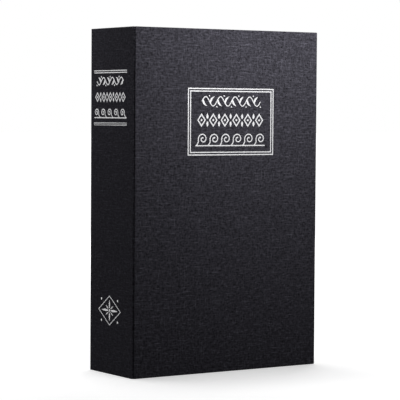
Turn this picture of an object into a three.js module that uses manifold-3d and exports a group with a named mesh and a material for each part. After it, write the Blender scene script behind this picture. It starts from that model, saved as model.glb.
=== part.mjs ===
import * as THREE from "three";
import { mergeVertices } from "three/addons/utils/BufferGeometryUtils.js";
import Module from "manifold-3d";

// A book-shaped diversion safe, standing upright on its tail edge.
// The bound case opens like a cover and shows a moulded frame that imitates
// page edges, a steel box inside it, and a steel door with a three-wheel lock.
// Millimetres. X runs from the spine to the fore edge, Y from the front cover
// to the back cover, and Z up. The origin is the middle of the footprint.

// Gap between a seated piece and what it lies on
const seatGap = 0.1;

// Book case
const bookHeight = 240;
const bookWidth = 155;
const bookThickness = 58;
const clothThickness = 0.5;
const boardThickness = 2;
const endpaperThickness = 0.4;
const glueGap = 0.1;
const turnInWidth = 5;
const endpaperMargin = 0.4;
const jointRadius = 0.9;
const jointGap = 0.3;
const jointHem = 0.5;

// Moulded page frame
const pageSetback = 3.5;
const coverClearance = 0.3;
const frameWall = 2;
const frameCornerRadius = 1.5;
const bezelWidth = 11;
const bezelThickness = 2;
const skirtThickness = 1.6;
const skirtGap = 0.3;

// Steel box
const boxWall = 1;
const doorRecess = 6;
const rimWidth = 6;
const rimCornerRadius = 4;
const boxScrewInset = 26;
const linerThickness = 1.2;
const linerGap = 0.8;
const linerHoleRadius = 5;

// Door and hinge
const doorSheet = 1.2;
const doorGap = 1;
const doorCornerRadius = 2;
const doorLipGap = 0.3;
const hingeLength = 180;
const hingeLeafThickness = 1;
const frameLeafWidth = 7.2;
const doorLeafWidth = 12;
const leafEdgeGap = 0.4;
const knuckleRadius = 2;
const knuckleCount = 5;
const knuckleGap = 0.3;
const knuckleSideGap = 0.4;
const pinRadius = 1;
const pinClearance = 0.08;
const pinHeadRadius = 1.6;
const pinHeadHeight = 0.8;

// Rivets and screws
const rivetRadius = 1.2;
const rivetHeadRadius = 2;
const rivetHeadHeight = 0.8;
const rivetTailRadius = 1.8;
const rivetTailHeight = 0.6;
const rivetTailChamfer = 0.36;
const rivetCount = 3;
const rivetEndInset = 18;
const holeClearance = 0.15;
const boxScrewRadius = 1.4;
const boxScrewHeadRadius = 3.4;
const boxScrewHeadHeight = 1;
const boxScrewReach = 3.2;
const mountScrewRadius = 1;
const mountScrewHeadRadius = 2;
const mountScrewHeadHeight = 1.1;
const mountScrewBite = 1;
const plateScrewRadius = 0.9;
const plateScrewHeadRadius = 1.7;
const plateScrewHeadHeight = 0.8;
const plateScrewLength = 6;
const driveSlotWidth = 0.5;
const driveSlotDepth = 0.4;

// Lock body
const lockLength = 44;
const lockHeight = 22;
const lockWall = 1.2;
const lockRimGap = 4;
const lockFlangeSide = 3;
const lockFlangeEnd = 5;
const lockFlangeThickness = 1.8;
const lockFlangeRadius = 3;
const lockFaceWall = 1.4;
const lockCutGap = 0.4;
const lockBossSize = 4;
const lockPlateThickness = 1;
const springRoom = 1.6;

// Number wheels
const wheelCount = 3;
const wheelPitch = 6.2;
const wheelWidth = 4.8;
const wheelRadius = 9;
const wheelProud = 1.1;
const wheelFirst = 8.8;
const wheelBoreRadius = 5;
const wheelSlotGap = 0.4;
const gripWidth = 1.6;
const gripDepth = 0.45;
const gripTeeth = 20;
const sleeveWidth = 5.4;
const sleeveGap = 0.15;
const shaftRadius = 2;
const shaftGap = 0.15;
const shaftEndGap = 0.5;
const shaftGrooveDepth = 0.4;
const shaftGrooveWidth = 1;

// Latch and its knob
const latchTravel = 5;
const boltTipGap = 0.6;
const boltGap = 0.3;
const boltThickness = 3.6;
const boltHeight = 7;
const carriageLength = 11;
const carriageHeight = 10;
const carriageThickness = 4.6;
const carriageEndGap = 0.8;
const shaftSeatDepth = 4;
const stemLength = 3;
const stemHeight = 5;
const stemInset = 5;
const knobLength = 8;
const knobHeight = 14;
const knobThickness = 1.3;
const knobLift = 0.2;
const knobRidges = 4;
const knobRidgeDepth = 0.4;
const knobRidgeWidth = 0.7;
const knobCornerRadius = 1.6;

// Detent spring and reset lever
const springSheet = 0.4;
const springFingerWidth = 3;
const springBaseHeight = 2.5;
const springGap = 0.3;
const springPlateGap = 0.1;
const springBumpLength = 2.4;
const springFingerPast = 2.5;
const springBaseDrop = 6.5;
const resetTravel = 3;
const resetStemLength = 2;
const resetStemHeight = 1.6;
const resetButtonLength = 4;
const resetButtonHeight = 7;
const resetButtonThickness = 1.4;
const resetCollarThickness = 0.8;
const resetGap = 0.2;
const resetFromEnd = 15;

// Facets on round work
const roundSides = 24;
const smallSides = 14;
const cornerSteps = 3;
const jointSteps = 6;
const domeSteps = 2;
const pointsPerTooth = 4;

// Points nearer than this are one point
const mergeDistance = 1e-4;

const wasm = await Module();
wasm.setup();

// Faces of the case
const spineX = -bookWidth / 2;
const foreX = bookWidth / 2;
const frontY = -bookThickness / 2;
const backY = bookThickness / 2;
const coverThickness = clothThickness + glueGap + boardThickness + glueGap + clothThickness;
const frontInnerY = frontY + coverThickness;
const backInnerY = backY - coverThickness;
const spineInnerX = spineX + coverThickness;
const panelStartX = spineX + jointRadius + jointGap;
const panelWidth = foreX - panelStartX;
const spineStartY = frontInnerY + coverClearance;
const spineEndY = backInnerY - coverClearance;

// Page frame and its window
const frameX = [spineInnerX + glueGap, foreX - pageSetback];
const frameY = [frontInnerY + coverClearance, backInnerY - glueGap];
const frameZ = [pageSetback, bookHeight - pageSetback];
const windowX = [frameX[0] + bezelWidth, frameX[1] - bezelWidth];
const windowZ = [frameZ[0] + bezelWidth, frameZ[1] - bezelWidth];

// Steel box, its rim and its mouth
const rimFrontY = frameY[0] + doorRecess;
const rimBackY = rimFrontY + boxWall;
const boxBackY = backInnerY - glueGap;
const boxFloorY = boxBackY - boxWall;
const hingeRimWidth = leafEdgeGap + frameLeafWidth + knuckleRadius + knuckleSideGap;
const mouthX = [windowX[0] + hingeRimWidth, windowX[1] - rimWidth];
const mouthZ = [windowZ[0] + rimWidth, windowZ[1] - rimWidth];
const middleZ = bookHeight / 2;

// Hinge line and door levels
const leafBackY = rimFrontY - seatGap;
const leafFrontY = leafBackY - hingeLeafThickness;
const hingeX = windowX[0] + leafEdgeGap + frameLeafWidth;
const hingeY = leafBackY - knuckleRadius;
const hingeZ = [middleZ - hingeLength / 2, middleZ + hingeLength / 2];
const doorBackY = leafFrontY - seatGap;
const doorFrontY = doorBackY - doorSheet;
const doorX = [hingeX + knuckleRadius + knuckleSideGap, windowX[1] - doorGap];
const doorZ = [windowZ[0] + doorGap, windowZ[1] - doorGap];

// Lock levels and places
const lockX = [mouthX[1] - lockRimGap - lockLength, mouthX[1] - lockRimGap];
const lockZ = [middleZ - lockHeight / 2, middleZ + lockHeight / 2];
const flangeBackY = doorFrontY - seatGap;
const faceY = flangeBackY - lockFlangeThickness;
const cavityFrontY = faceY + lockFaceWall;
const wheelAxisY = faceY - wheelProud + wheelRadius;
const lockBackY = wheelAxisY + wheelRadius + springRoom;
const plateY = [lockBackY + seatGap, lockBackY + seatGap + lockPlateThickness];
const boltY = [rimBackY + boltGap, rimBackY + boltGap + boltThickness];
const boltTipX = mouthX[1] - boltTipGap;
const carriageEndX = lockX[1] - lockWall - carriageEndGap - latchTravel;
const carriageX = [carriageEndX - carriageLength, carriageEndX];
const stemX = [carriageX[0] + stemInset, carriageX[0] + stemInset + stemLength];
const knobBackY = faceY - knobLift;

// Turn a closed three.js geometry into a solid for cutting and joining.
function toSolid(geometry) {
  const bare = geometry.clone();
  bare.deleteAttribute("normal");
  bare.deleteAttribute("uv");
  const merged = mergeVertices(bare, mergeDistance);
  const mesh = new wasm.Mesh({
    numProp: 3,
    vertProperties: new Float32Array(merged.attributes.position.array),
    triVerts: new Uint32Array(merged.index.array),
  });
  return new wasm.Manifold(mesh);
}

// Turn a finished solid back into a geometry with flat faces.
function toGeometry(solid) {
  const mesh = solid.getMesh();
  const indexed = new THREE.BufferGeometry();
  indexed.setAttribute("position", new THREE.BufferAttribute(mesh.vertProperties, 3));
  indexed.setIndex(new THREE.BufferAttribute(mesh.triVerts, 1));
  const geometry = indexed.toNonIndexed();
  geometry.computeVertexNormals();
  return geometry;
}

// A block between two ranges on each axis.
function block(rangeX, rangeY, rangeZ) {
  const ranges = [rangeX, rangeY, rangeZ];
  const size = ranges.map((range) => range[1] - range[0]);
  const middle = ranges.map((range) => (range[0] + range[1]) / 2);
  const geometry = new THREE.BoxGeometry(...size);
  geometry.translate(...middle);
  return toSolid(geometry);
}

const axes = {
  x: new THREE.Vector3(1, 0, 0),
  y: new THREE.Vector3(0, 1, 0),
  z: new THREE.Vector3(0, 0, 1),
};

// A round rod that starts at a point and runs along one axis.
function rod(axis, radius, start, length, sides = roundSides) {
  const geometry = new THREE.CylinderGeometry(radius, radius, length, sides);
  geometry.translate(0, length / 2, 0);
  geometry.applyQuaternion(new THREE.Quaternion().setFromUnitVectors(axes.y, axes[axis]));
  geometry.translate(...start);
  return toSolid(geometry);
}

// A closed outline of straight sides with rounded corners, drawn in X and Z.
function roundedRectangle(rangeX, rangeZ, radius) {
  const shape = new THREE.Shape();
  shape.moveTo(rangeX[0] + radius, rangeZ[0]);
  shape.lineTo(rangeX[1] - radius, rangeZ[0]);
  shape.absarc(rangeX[1] - radius, rangeZ[0] + radius, radius, -Math.PI / 2, 0);
  shape.lineTo(rangeX[1], rangeZ[1] - radius);
  shape.absarc(rangeX[1] - radius, rangeZ[1] - radius, radius, 0, Math.PI / 2);
  shape.lineTo(rangeX[0] + radius, rangeZ[1]);
  shape.absarc(rangeX[0] + radius, rangeZ[1] - radius, radius, Math.PI / 2, Math.PI);
  shape.lineTo(rangeX[0], rangeZ[0] + radius);
  shape.absarc(rangeX[0] + radius, rangeZ[0] + radius, radius, Math.PI, 1.5 * Math.PI);
  return shape;
}

// A plate with an outline in X and Z that fills a range of Y.
function plate(shape, rangeY) {
  const depth = rangeY[1] - rangeY[0];
  const geometry = new THREE.ExtrudeGeometry(shape, {
    depth,
    bevelEnabled: false,
    curveSegments: cornerSteps,
  });
  const turn = new THREE.Matrix4().makeBasis(axes.x, axes.z, axes.y.clone().negate());
  geometry.applyMatrix4(turn);
  geometry.translate(0, rangeY[1], 0);
  return toSolid(geometry);
}

// A range made wider at both ends, or narrower for a negative amount.
function grow(range, amount) {
  return [range[0] - amount, range[1] + amount];
}

// A range of a given size about a middle value.
function about(middle, size) {
  return [middle - size / 2, middle + size / 2];
}

function spaced(count, first, last) {
  return Array.from({ length: count }, (unused, index) => first + ((last - first) * index) / (count - 1));
}

function finish(color, roughness, metalness) {
  return new THREE.MeshStandardMaterial({ color, roughness, metalness });
}

const bookCloth = finish(0x2b2b2e, 0.75, 0);
const greyBoard = finish(0x8d8576, 0.9, 0);
const endpaper = finish(0x17171a, 0.8, 0);
const pagePlastic = finish(0xe6dfcb, 0.6, 0);
const blackSteel = finish(0x1b1b1d, 0.5, 0.4);
const brightSteel = finish(0xb8bcc0, 0.35, 0.9);
const satinChrome = finish(0xc4c7ca, 0.25, 0.9);
const wheelPlastic = finish(0x141416, 0.4, 0);
const brass = finish(0xb59a58, 0.35, 0.9);
const blackFelt = finish(0x202024, 1, 0);

// A named mesh added to a group.
function addPiece(group, name, solid, material) {
  const mesh = new THREE.Mesh(toGeometry(solid), material);
  mesh.name = name;
  group.add(mesh);
  return mesh;
}

const safe = new THREE.Group();

// One covered panel of the case, built flat: X from the joint to the fore edge,
// Y from the outer face inwards and Z from tail to head.
function panelCloth(width, foreEdgeCovered) {
  const outer = block([0, width], [0, coverThickness], [0, bookHeight]);
  const pocketEnd = foreEdgeCovered ? width - clothThickness : width + clothThickness;
  const windowEnd = foreEdgeCovered ? width - turnInWidth : width + turnInWidth;
  const pocket = block(
    [-clothThickness, pocketEnd],
    [clothThickness, coverThickness - clothThickness],
    [clothThickness, bookHeight - clothThickness],
  );
  const window = block(
    [-turnInWidth, windowEnd],
    [coverThickness / 2, coverThickness + clothThickness],
    [turnInWidth, bookHeight - turnInWidth],
  );
  return outer.subtract(pocket).subtract(window);
}

function panelBoard(width, foreEdgeCovered) {
  const edge = clothThickness + glueGap;
  const end = foreEdgeCovered ? width - edge : width;
  return block([0, end], [edge, edge + boardThickness], grow([0, bookHeight], -edge));
}

function panelLining(width, foreEdgeCovered) {
  const margin = turnInWidth + endpaperMargin;
  const end = foreEdgeCovered ? width - margin : width;
  const start = coverThickness - clothThickness;
  return block([0, end], [start, start + endpaperThickness], grow([0, bookHeight], -margin));
}

// Four places for the screws that hold the steel box to the back board.
const boxScrewPlaces = [];
for (const x of grow(windowX, -boxScrewInset)) {
  for (const z of grow(windowZ, -boxScrewInset)) {
    boxScrewPlaces.push([x, z]);
  }
}

function cutBoxScrewHoles(solid, radius, rangeY) {
  let cut = solid;
  for (const [x, z] of boxScrewPlaces) {
    cut = cut.subtract(rod("y", radius, [x, rangeY[0], z], rangeY[1] - rangeY[0], smallSides));
  }
  return cut;
}

function addFrontCover() {
  const cover = new THREE.Group();
  cover.position.set(panelStartX, frontY, 0);
  addPiece(cover, "front_cover_cloth", panelCloth(panelWidth, true), bookCloth);
  addPiece(cover, "front_board", panelBoard(panelWidth, true), greyBoard);
  addPiece(cover, "front_endpaper", panelLining(panelWidth, true), endpaper);
  safe.add(cover);
}

// The back panel is the front panel turned half round about X.
function addBackCover() {
  const cover = new THREE.Group();
  cover.position.set(panelStartX, backY, bookHeight);
  cover.rotation.x = Math.PI;
  const holeRadius = boxScrewRadius + holeClearance;
  const drill = (solid) => {
    let cut = solid;
    for (const [x, z] of boxScrewPlaces) {
      const start = [x - panelStartX, clothThickness, bookHeight - z];
      cut = cut.subtract(rod("y", holeRadius, start, coverThickness, smallSides));
    }
    return cut;
  };
  addPiece(cover, "back_cover_cloth", panelCloth(panelWidth, true), bookCloth);
  addPiece(cover, "back_board", drill(panelBoard(panelWidth, true)), greyBoard);
  addPiece(cover, "back_endpaper", drill(panelLining(panelWidth, true)), endpaper);
  safe.add(cover);
}

// The spine panel is a quarter turn from the front panel, open at both joints.
function addSpine() {
  const spine = new THREE.Group();
  spine.position.set(spineX, spineEndY, 0);
  spine.rotation.z = -Math.PI / 2;
  const width = spineEndY - spineStartY;
  addPiece(spine, "spine_cloth", panelCloth(width, false), bookCloth);
  addPiece(spine, "spine_board", panelBoard(width, false), greyBoard);
  addPiece(spine, "spine_lining", panelLining(width, false), endpaper);
  safe.add(spine);
}

// The cloth that turns the corner between the spine and one cover.
function jointCloth() {
  const reach = coverThickness + coverClearance - jointGap;
  const shape = new THREE.Shape();
  shape.moveTo(0, reach);
  shape.lineTo(0, jointRadius);
  shape.absarc(jointRadius, jointRadius, jointRadius, Math.PI, 1.5 * Math.PI);
  shape.lineTo(jointRadius, clothThickness);
  shape.absarc(jointRadius, jointRadius, jointRadius - clothThickness, 1.5 * Math.PI, Math.PI, true);
  shape.lineTo(clothThickness, reach);
  const geometry = new THREE.ExtrudeGeometry(shape, {
    depth: bookHeight - 2 * jointHem,
    bevelEnabled: false,
    curveSegments: jointSteps,
  });
  return toSolid(geometry);
}

function addJointCloths() {
  const front = addPiece(safe, "front_joint_cloth", jointCloth(), bookCloth);
  front.position.set(spineX, frontY, jointHem);
  const back = addPiece(safe, "back_joint_cloth", jointCloth(), bookCloth);
  back.position.set(spineX, backY, bookHeight - jointHem);
  back.rotation.x = Math.PI;
}

function addPageFrame() {
  const outer = plate(roundedRectangle(frameX, frameZ, frameCornerRadius), frameY);
  const inside = block(
    grow(frameX, -frameWall),
    [frameY[0] + bezelThickness, frameY[1] + frameWall],
    grow(frameZ, -frameWall),
  );
  const skirtX = grow(windowX, skirtThickness);
  const skirtZ = grow(windowZ, skirtThickness);
  const skirt = block(skirtX, [frameY[0] + bezelThickness / 2, rimFrontY - skirtGap], skirtZ);
  const window = block(windowX, grow(frameY, frameWall), windowZ);
  addPiece(safe, "page_frame", outer.subtract(inside).add(skirt).subtract(window), pagePlastic);
}

function rivetHeights() {
  return spaced(rivetCount, hingeZ[0] + rivetEndInset, hingeZ[1] - rivetEndInset);
}

const frameRivetX = windowX[0] + leafEdgeGap + (frameLeafWidth - knuckleRadius - knuckleSideGap) / 2;
const doorRivetX = (doorX[0] + hingeX + doorLeafWidth) / 2;

function cutRivetHoles(solid, x, rangeY) {
  let cut = solid;
  const radius = rivetRadius + holeClearance;
  for (const z of rivetHeights()) {
    cut = cut.subtract(rod("y", radius, [x, rangeY[0], z], rangeY[1] - rangeY[0], smallSides));
  }
  return cut;
}

function addSteelBox() {
  const shell = block(grow(windowX, boxWall), [rimFrontY, boxBackY], grow(windowZ, boxWall));
  const inside = block(windowX, [rimBackY, boxFloorY], windowZ);
  const throughRim = grow([rimFrontY, rimBackY], boxWall);
  const mouth = plate(roundedRectangle(mouthX, mouthZ, rimCornerRadius), throughRim);
  let box = shell.subtract(inside).subtract(mouth);
  box = cutBoxScrewHoles(box, boxScrewRadius + holeClearance, grow([boxFloorY, boxBackY], boxWall));
  box = cutRivetHoles(box, frameRivetX, throughRim);
  addPiece(safe, "steel_box", box, blackSteel);

  const linerY = [boxFloorY - glueGap - linerThickness, boxFloorY - glueGap];
  const linerOutline = roundedRectangle(grow(windowX, -linerGap), grow(windowZ, -linerGap), rimCornerRadius);
  const throughLiner = grow(linerY, linerThickness);
  const felt = cutBoxScrewHoles(plate(linerOutline, linerY), linerHoleRadius, throughLiner);
  addPiece(safe, "felt_liner", felt, blackFelt);
}

// A turned fastener along +Y: a domed head, then the shank, and on a rivet a
// second, chamfered head where the shank is clinched over.
function fastener(headRadius, headHeight, shankRadius, shankLength, clinched = false) {
  const tailHeight = clinched ? rivetTailHeight : 0;
  const outline = [];
  for (let step = 0; step <= domeSteps; step += 1) {
    const angle = ((Math.PI / 2) * step) / domeSteps;
    outline.push(new THREE.Vector2(headRadius * Math.sin(angle), -headHeight * Math.cos(angle)));
  }
  outline[0].x = 0;
  outline.push(new THREE.Vector2(shankRadius, 0));
  outline.push(new THREE.Vector2(shankRadius, shankLength));
  if (clinched) {
    outline.push(new THREE.Vector2(rivetTailRadius, shankLength));
    outline.push(new THREE.Vector2(rivetTailRadius - rivetTailChamfer, shankLength + tailHeight));
  }
  outline.push(new THREE.Vector2(0, shankLength + tailHeight));
  return toSolid(new THREE.LatheGeometry(outline, smallSides));
}

// A driver slot across a screw head whose top is at the given height.
function cutDriveSlot(solid, headRadius, headHeight) {
  const slot = block(
    about(0, 4 * headRadius),
    about(-headHeight, 2 * driveSlotDepth),
    about(0, driveSlotWidth),
  );
  return solid.subtract(slot);
}

function addBoxScrews() {
  const plain = fastener(boxScrewHeadRadius, boxScrewHeadHeight, boxScrewRadius, boxScrewReach);
  const screw = cutDriveSlot(plain, boxScrewHeadRadius, boxScrewHeadHeight);
  boxScrewPlaces.forEach(([x, z], index) => {
    const piece = addPiece(safe, `box_screw_${index + 1}`, screw, brightSteel);
    piece.position.set(x, boxFloorY - seatGap, z);
  });
}

// One hinge leaf: a strip, its share of the knuckles, and the bore for the pin.
function hingeLeaf(stripX, firstKnuckle) {
  const step = (hingeLength + knuckleGap) / knuckleCount;
  const length = step - knuckleGap;
  const leafY = [leafFrontY, leafBackY];
  let leaf = block(stripX, leafY, hingeZ);
  for (let index = firstKnuckle; index < knuckleCount; index += 2) {
    const start = hingeZ[0] + index * step;
    const tabX = [Math.min(stripX[0], hingeX), Math.max(stripX[1], hingeX)];
    leaf = leaf.add(rod("z", knuckleRadius, [hingeX, hingeY, start], length));
    leaf = leaf.add(block(tabX, leafY, [start, start + length]));
  }
  const boreStart = [hingeX, hingeY, hingeZ[0] - knuckleGap];
  return leaf.subtract(rod("z", pinRadius + pinClearance, boreStart, hingeLength + 2 * knuckleGap));
}

function addHinge(doorGroup) {
  const frameStrip = [windowX[0] + leafEdgeGap, hingeX - knuckleRadius - knuckleSideGap];
  const doorStrip = [doorX[0], hingeX + doorLeafWidth];
  const throughLeaf = grow([leafFrontY, leafBackY], hingeLeafThickness);
  const frameLeaf = cutRivetHoles(hingeLeaf(frameStrip, 0), frameRivetX, throughLeaf);
  const doorLeaf = cutRivetHoles(hingeLeaf(doorStrip, 1), doorRivetX, throughLeaf);
  addPiece(safe, "hinge_frame_leaf", frameLeaf, blackSteel);
  addPiece(doorGroup, "hinge_door_leaf", doorLeaf, blackSteel);

  const pinLength = hingeLength + 2 * knuckleGap;
  const pinStart = hingeZ[0] - knuckleGap;
  const pinEnd = pinStart + pinLength;
  const head = (z) => rod("z", pinHeadRadius, [hingeX, hingeY, z], pinHeadHeight, smallSides);
  const shaftStart = [hingeX, hingeY, pinStart - pinHeadHeight / 2];
  const shaft = rod("z", pinRadius, shaftStart, pinLength + pinHeadHeight);
  const pin = shaft.add(head(pinStart - pinHeadHeight)).add(head(pinEnd));
  addPiece(safe, "hinge_pin", pin, brightSteel);
}

function addHingeRivets(doorGroup) {
  const frameGrip = rimBackY - leafFrontY + 2 * seatGap;
  const doorGrip = leafBackY - doorFrontY + 2 * seatGap;
  const frameRivet = fastener(rivetHeadRadius, rivetHeadHeight, rivetRadius, frameGrip, true);
  const doorRivet = fastener(rivetHeadRadius, rivetHeadHeight, rivetRadius, doorGrip, true);
  rivetHeights().forEach((z, index) => {
    const fixed = addPiece(safe, `frame_rivet_${index + 1}`, frameRivet, brightSteel);
    fixed.position.set(frameRivetX, leafFrontY - seatGap, z);
    const moving = addPiece(doorGroup, `door_rivet_${index + 1}`, doorRivet, brightSteel);
    moving.position.set(doorRivetX, doorFrontY - seatGap, z);
  });
}

const mountScrewPlaces = [lockZ[0] - lockFlangeEnd / 2, lockZ[1] + lockFlangeEnd / 2];
const lockMiddleX = (lockX[0] + lockX[1]) / 2;

// The door is a shallow pan. Its lips turn back to the rim on three sides and
// stop short on the hinge side, where the leaf lies behind the sheet.
function addDoorPanel(doorGroup) {
  const outline = roundedRectangle(doorX, doorZ, doorCornerRadius);
  const pan = plate(outline, [doorFrontY, rimFrontY - doorLipGap]);
  const hollowX = [doorX[0] - doorSheet, doorX[1] - doorSheet];
  const hollow = block(hollowX, [doorBackY, rimFrontY], grow(doorZ, -doorSheet));
  const throughSheet = grow([doorFrontY, doorBackY], doorSheet);
  const opening = block(grow(lockX, lockCutGap), throughSheet, grow(lockZ, lockCutGap));
  let door = pan.subtract(hollow).subtract(opening);
  door = cutRivetHoles(door, doorRivetX, throughSheet);
  for (const z of mountScrewPlaces) {
    const start = [lockMiddleX, throughSheet[0], z];
    const length = throughSheet[1] - throughSheet[0];
    door = door.subtract(rod("y", mountScrewRadius + holeClearance, start, length, smallSides));
  }
  addPiece(doorGroup, "door_panel", door, blackSteel);
}

const wheelX = [];
for (let index = 0; index < wheelCount; index += 1) {
  wheelX.push(lockX[0] + wheelFirst + index * wheelPitch);
}

// Corner bosses that take the screws of the lock's back plate.
const bossCentre = lockWall + lockBossSize / 2;
const bossPlaces = [
  [lockX[0] + bossCentre, lockZ[0] + bossCentre],
  [lockX[1] - bossCentre, lockZ[1] - bossCentre],
];

function addLockHousing(doorGroup) {
  const flangeX = grow(lockX, lockFlangeSide);
  const flangeZ = grow(lockZ, lockFlangeEnd);
  const flange = plate(roundedRectangle(flangeX, flangeZ, lockFlangeRadius), [faceY, flangeBackY]);
  const body = block(lockX, [faceY + lockFlangeThickness / 2, lockBackY], lockZ);
  const cavity = block(grow(lockX, -lockWall), [cavityFrontY, lockBackY + lockWall], grow(lockZ, -lockWall));
  let housing = flange.add(body).subtract(cavity);
  for (const [x, z] of bossPlaces) {
    const bossReach = lockBossSize + lockWall;
    const bossY = [cavityFrontY - lockFaceWall / 2, lockBackY];
    housing = housing.add(block(about(x, bossReach), bossY, about(z, bossReach)));
    const start = [x, lockBackY - plateScrewLength, z];
    const length = plateScrewLength + lockWall;
    housing = housing.subtract(rod("y", plateScrewRadius + holeClearance, start, length, smallSides));
  }
  const throughFace = grow([faceY, cavityFrontY], lockFaceWall);
  const slotHalf = Math.sqrt(wheelRadius ** 2 - (wheelAxisY - cavityFrontY) ** 2) + wheelSlotGap;
  for (const x of wheelX) {
    const slotX = about(x, wheelWidth + 2 * wheelSlotGap);
    housing = housing.subtract(block(slotX, throughFace, about(middleZ, 2 * slotHalf)));
  }
  const knobSlotX = [stemX[0] - boltGap, stemX[1] + latchTravel + boltGap];
  housing = housing.subtract(block(knobSlotX, throughFace, about(middleZ, stemHeight + 2 * boltGap)));
  const boltWindowX = grow([lockX[1] - lockWall, lockX[1]], lockWall);
  const boltWindowZ = about(middleZ, boltHeight + 2 * boltGap);
  housing = housing.subtract(block(boltWindowX, grow(boltY, boltGap), boltWindowZ));
  for (const z of mountScrewPlaces) {
    const start = [lockMiddleX, flangeBackY - mountScrewBite - holeClearance, z];
    const hole = rod("y", mountScrewRadius + holeClearance, start, lockFlangeThickness, smallSides);
    housing = housing.subtract(hole);
  }
  addPiece(doorGroup, "lock_housing", housing, satinChrome);
}

const resetX = lockX[1] - resetFromEnd;

function addLockBackPlate(doorGroup) {
  let back = block(lockX, plateY, lockZ);
  const slotHalf = resetStemLength / 2 + resetGap;
  const slotX = [resetX - slotHalf, resetX + slotHalf + resetTravel];
  const throughPlate = grow(plateY, lockPlateThickness);
  back = back.subtract(block(slotX, throughPlate, about(middleZ, resetStemHeight + 2 * resetGap)));
  for (const [x, z] of bossPlaces) {
    const start = [x, throughPlate[0], z];
    const length = throughPlate[1] - throughPlate[0];
    back = back.subtract(rod("y", plateScrewRadius + holeClearance, start, length, smallSides));
  }
  addPiece(doorGroup, "lock_back_plate", back, brightSteel);
}

function addLockScrews(doorGroup) {
  const plateScrew = cutDriveSlot(
    fastener(plateScrewHeadRadius, plateScrewHeadHeight, plateScrewRadius, plateScrewLength),
    plateScrewHeadRadius,
    plateScrewHeadHeight,
  );
  bossPlaces.forEach(([x, z], index) => {
    const piece = addPiece(doorGroup, `plate_screw_${index + 1}`, plateScrew, brightSteel);
    piece.position.set(x, plateY[1] + seatGap, z);
    piece.rotation.x = Math.PI;
  });
  const reach = seatGap + doorSheet + seatGap + mountScrewBite;
  const mountScrew = cutDriveSlot(
    fastener(mountScrewHeadRadius, mountScrewHeadHeight, mountScrewRadius, reach),
    mountScrewHeadRadius,
    mountScrewHeadHeight,
  );
  mountScrewPlaces.forEach((z, index) => {
    const piece = addPiece(doorGroup, `lock_screw_${index + 1}`, mountScrew, brightSteel);
    piece.position.set(lockMiddleX, doorBackY + seatGap, z);
    piece.rotation.x = Math.PI;
  });
}

// One number wheel: a smooth band for the numbers and a toothed grip beside it.
function numberWheel() {
  const shape = new THREE.Shape();
  const total = gripTeeth * pointsPerTooth;
  for (let point = 0; point < total; point += 1) {
    const angle = (2 * Math.PI * point) / total;
    const radius = point % pointsPerTooth < pointsPerTooth / 2 ? wheelRadius : wheelRadius - gripDepth;
    if (point === 0) {
      shape.moveTo(radius * Math.cos(angle), radius * Math.sin(angle));
    } else {
      shape.lineTo(radius * Math.cos(angle), radius * Math.sin(angle));
    }
  }
  const grip = new THREE.ExtrudeGeometry(shape, { depth: gripWidth, bevelEnabled: false });
  grip.applyMatrix4(new THREE.Matrix4().makeBasis(axes.y, axes.z, axes.x));
  grip.translate(wheelWidth / 2 - gripWidth, 0, 0);
  const bandWidth = wheelWidth - gripWidth;
  const bandStart = -wheelWidth / 2;
  const bandRadius = wheelRadius - gripDepth / 2;
  const band = rod("x", bandRadius, [bandStart, 0, 0], bandWidth + gripWidth / 2, 2 * gripTeeth);
  const bore = rod("x", wheelBoreRadius, [-wheelWidth, 0, 0], 2 * wheelWidth);
  return toSolid(grip).add(band).subtract(bore);
}

function sleeve() {
  const outer = rod("x", wheelBoreRadius - sleeveGap, [-sleeveWidth / 2, 0, 0], sleeveWidth);
  return outer.subtract(rod("x", shaftRadius + shaftGap, [-sleeveWidth, 0, 0], 2 * sleeveWidth, smallSides));
}

function addNumberWheels(doorGroup) {
  const wheel = numberWheel();
  const hub = sleeve();
  wheelX.forEach((x, index) => {
    const turning = new THREE.Group();
    turning.position.set(x, wheelAxisY, middleZ);
    addPiece(turning, `number_wheel_${index + 1}`, wheel, wheelPlastic);
    addPiece(turning, `wheel_sleeve_${index + 1}`, hub, brass);
    doorGroup.add(turning);
  });
}

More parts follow.
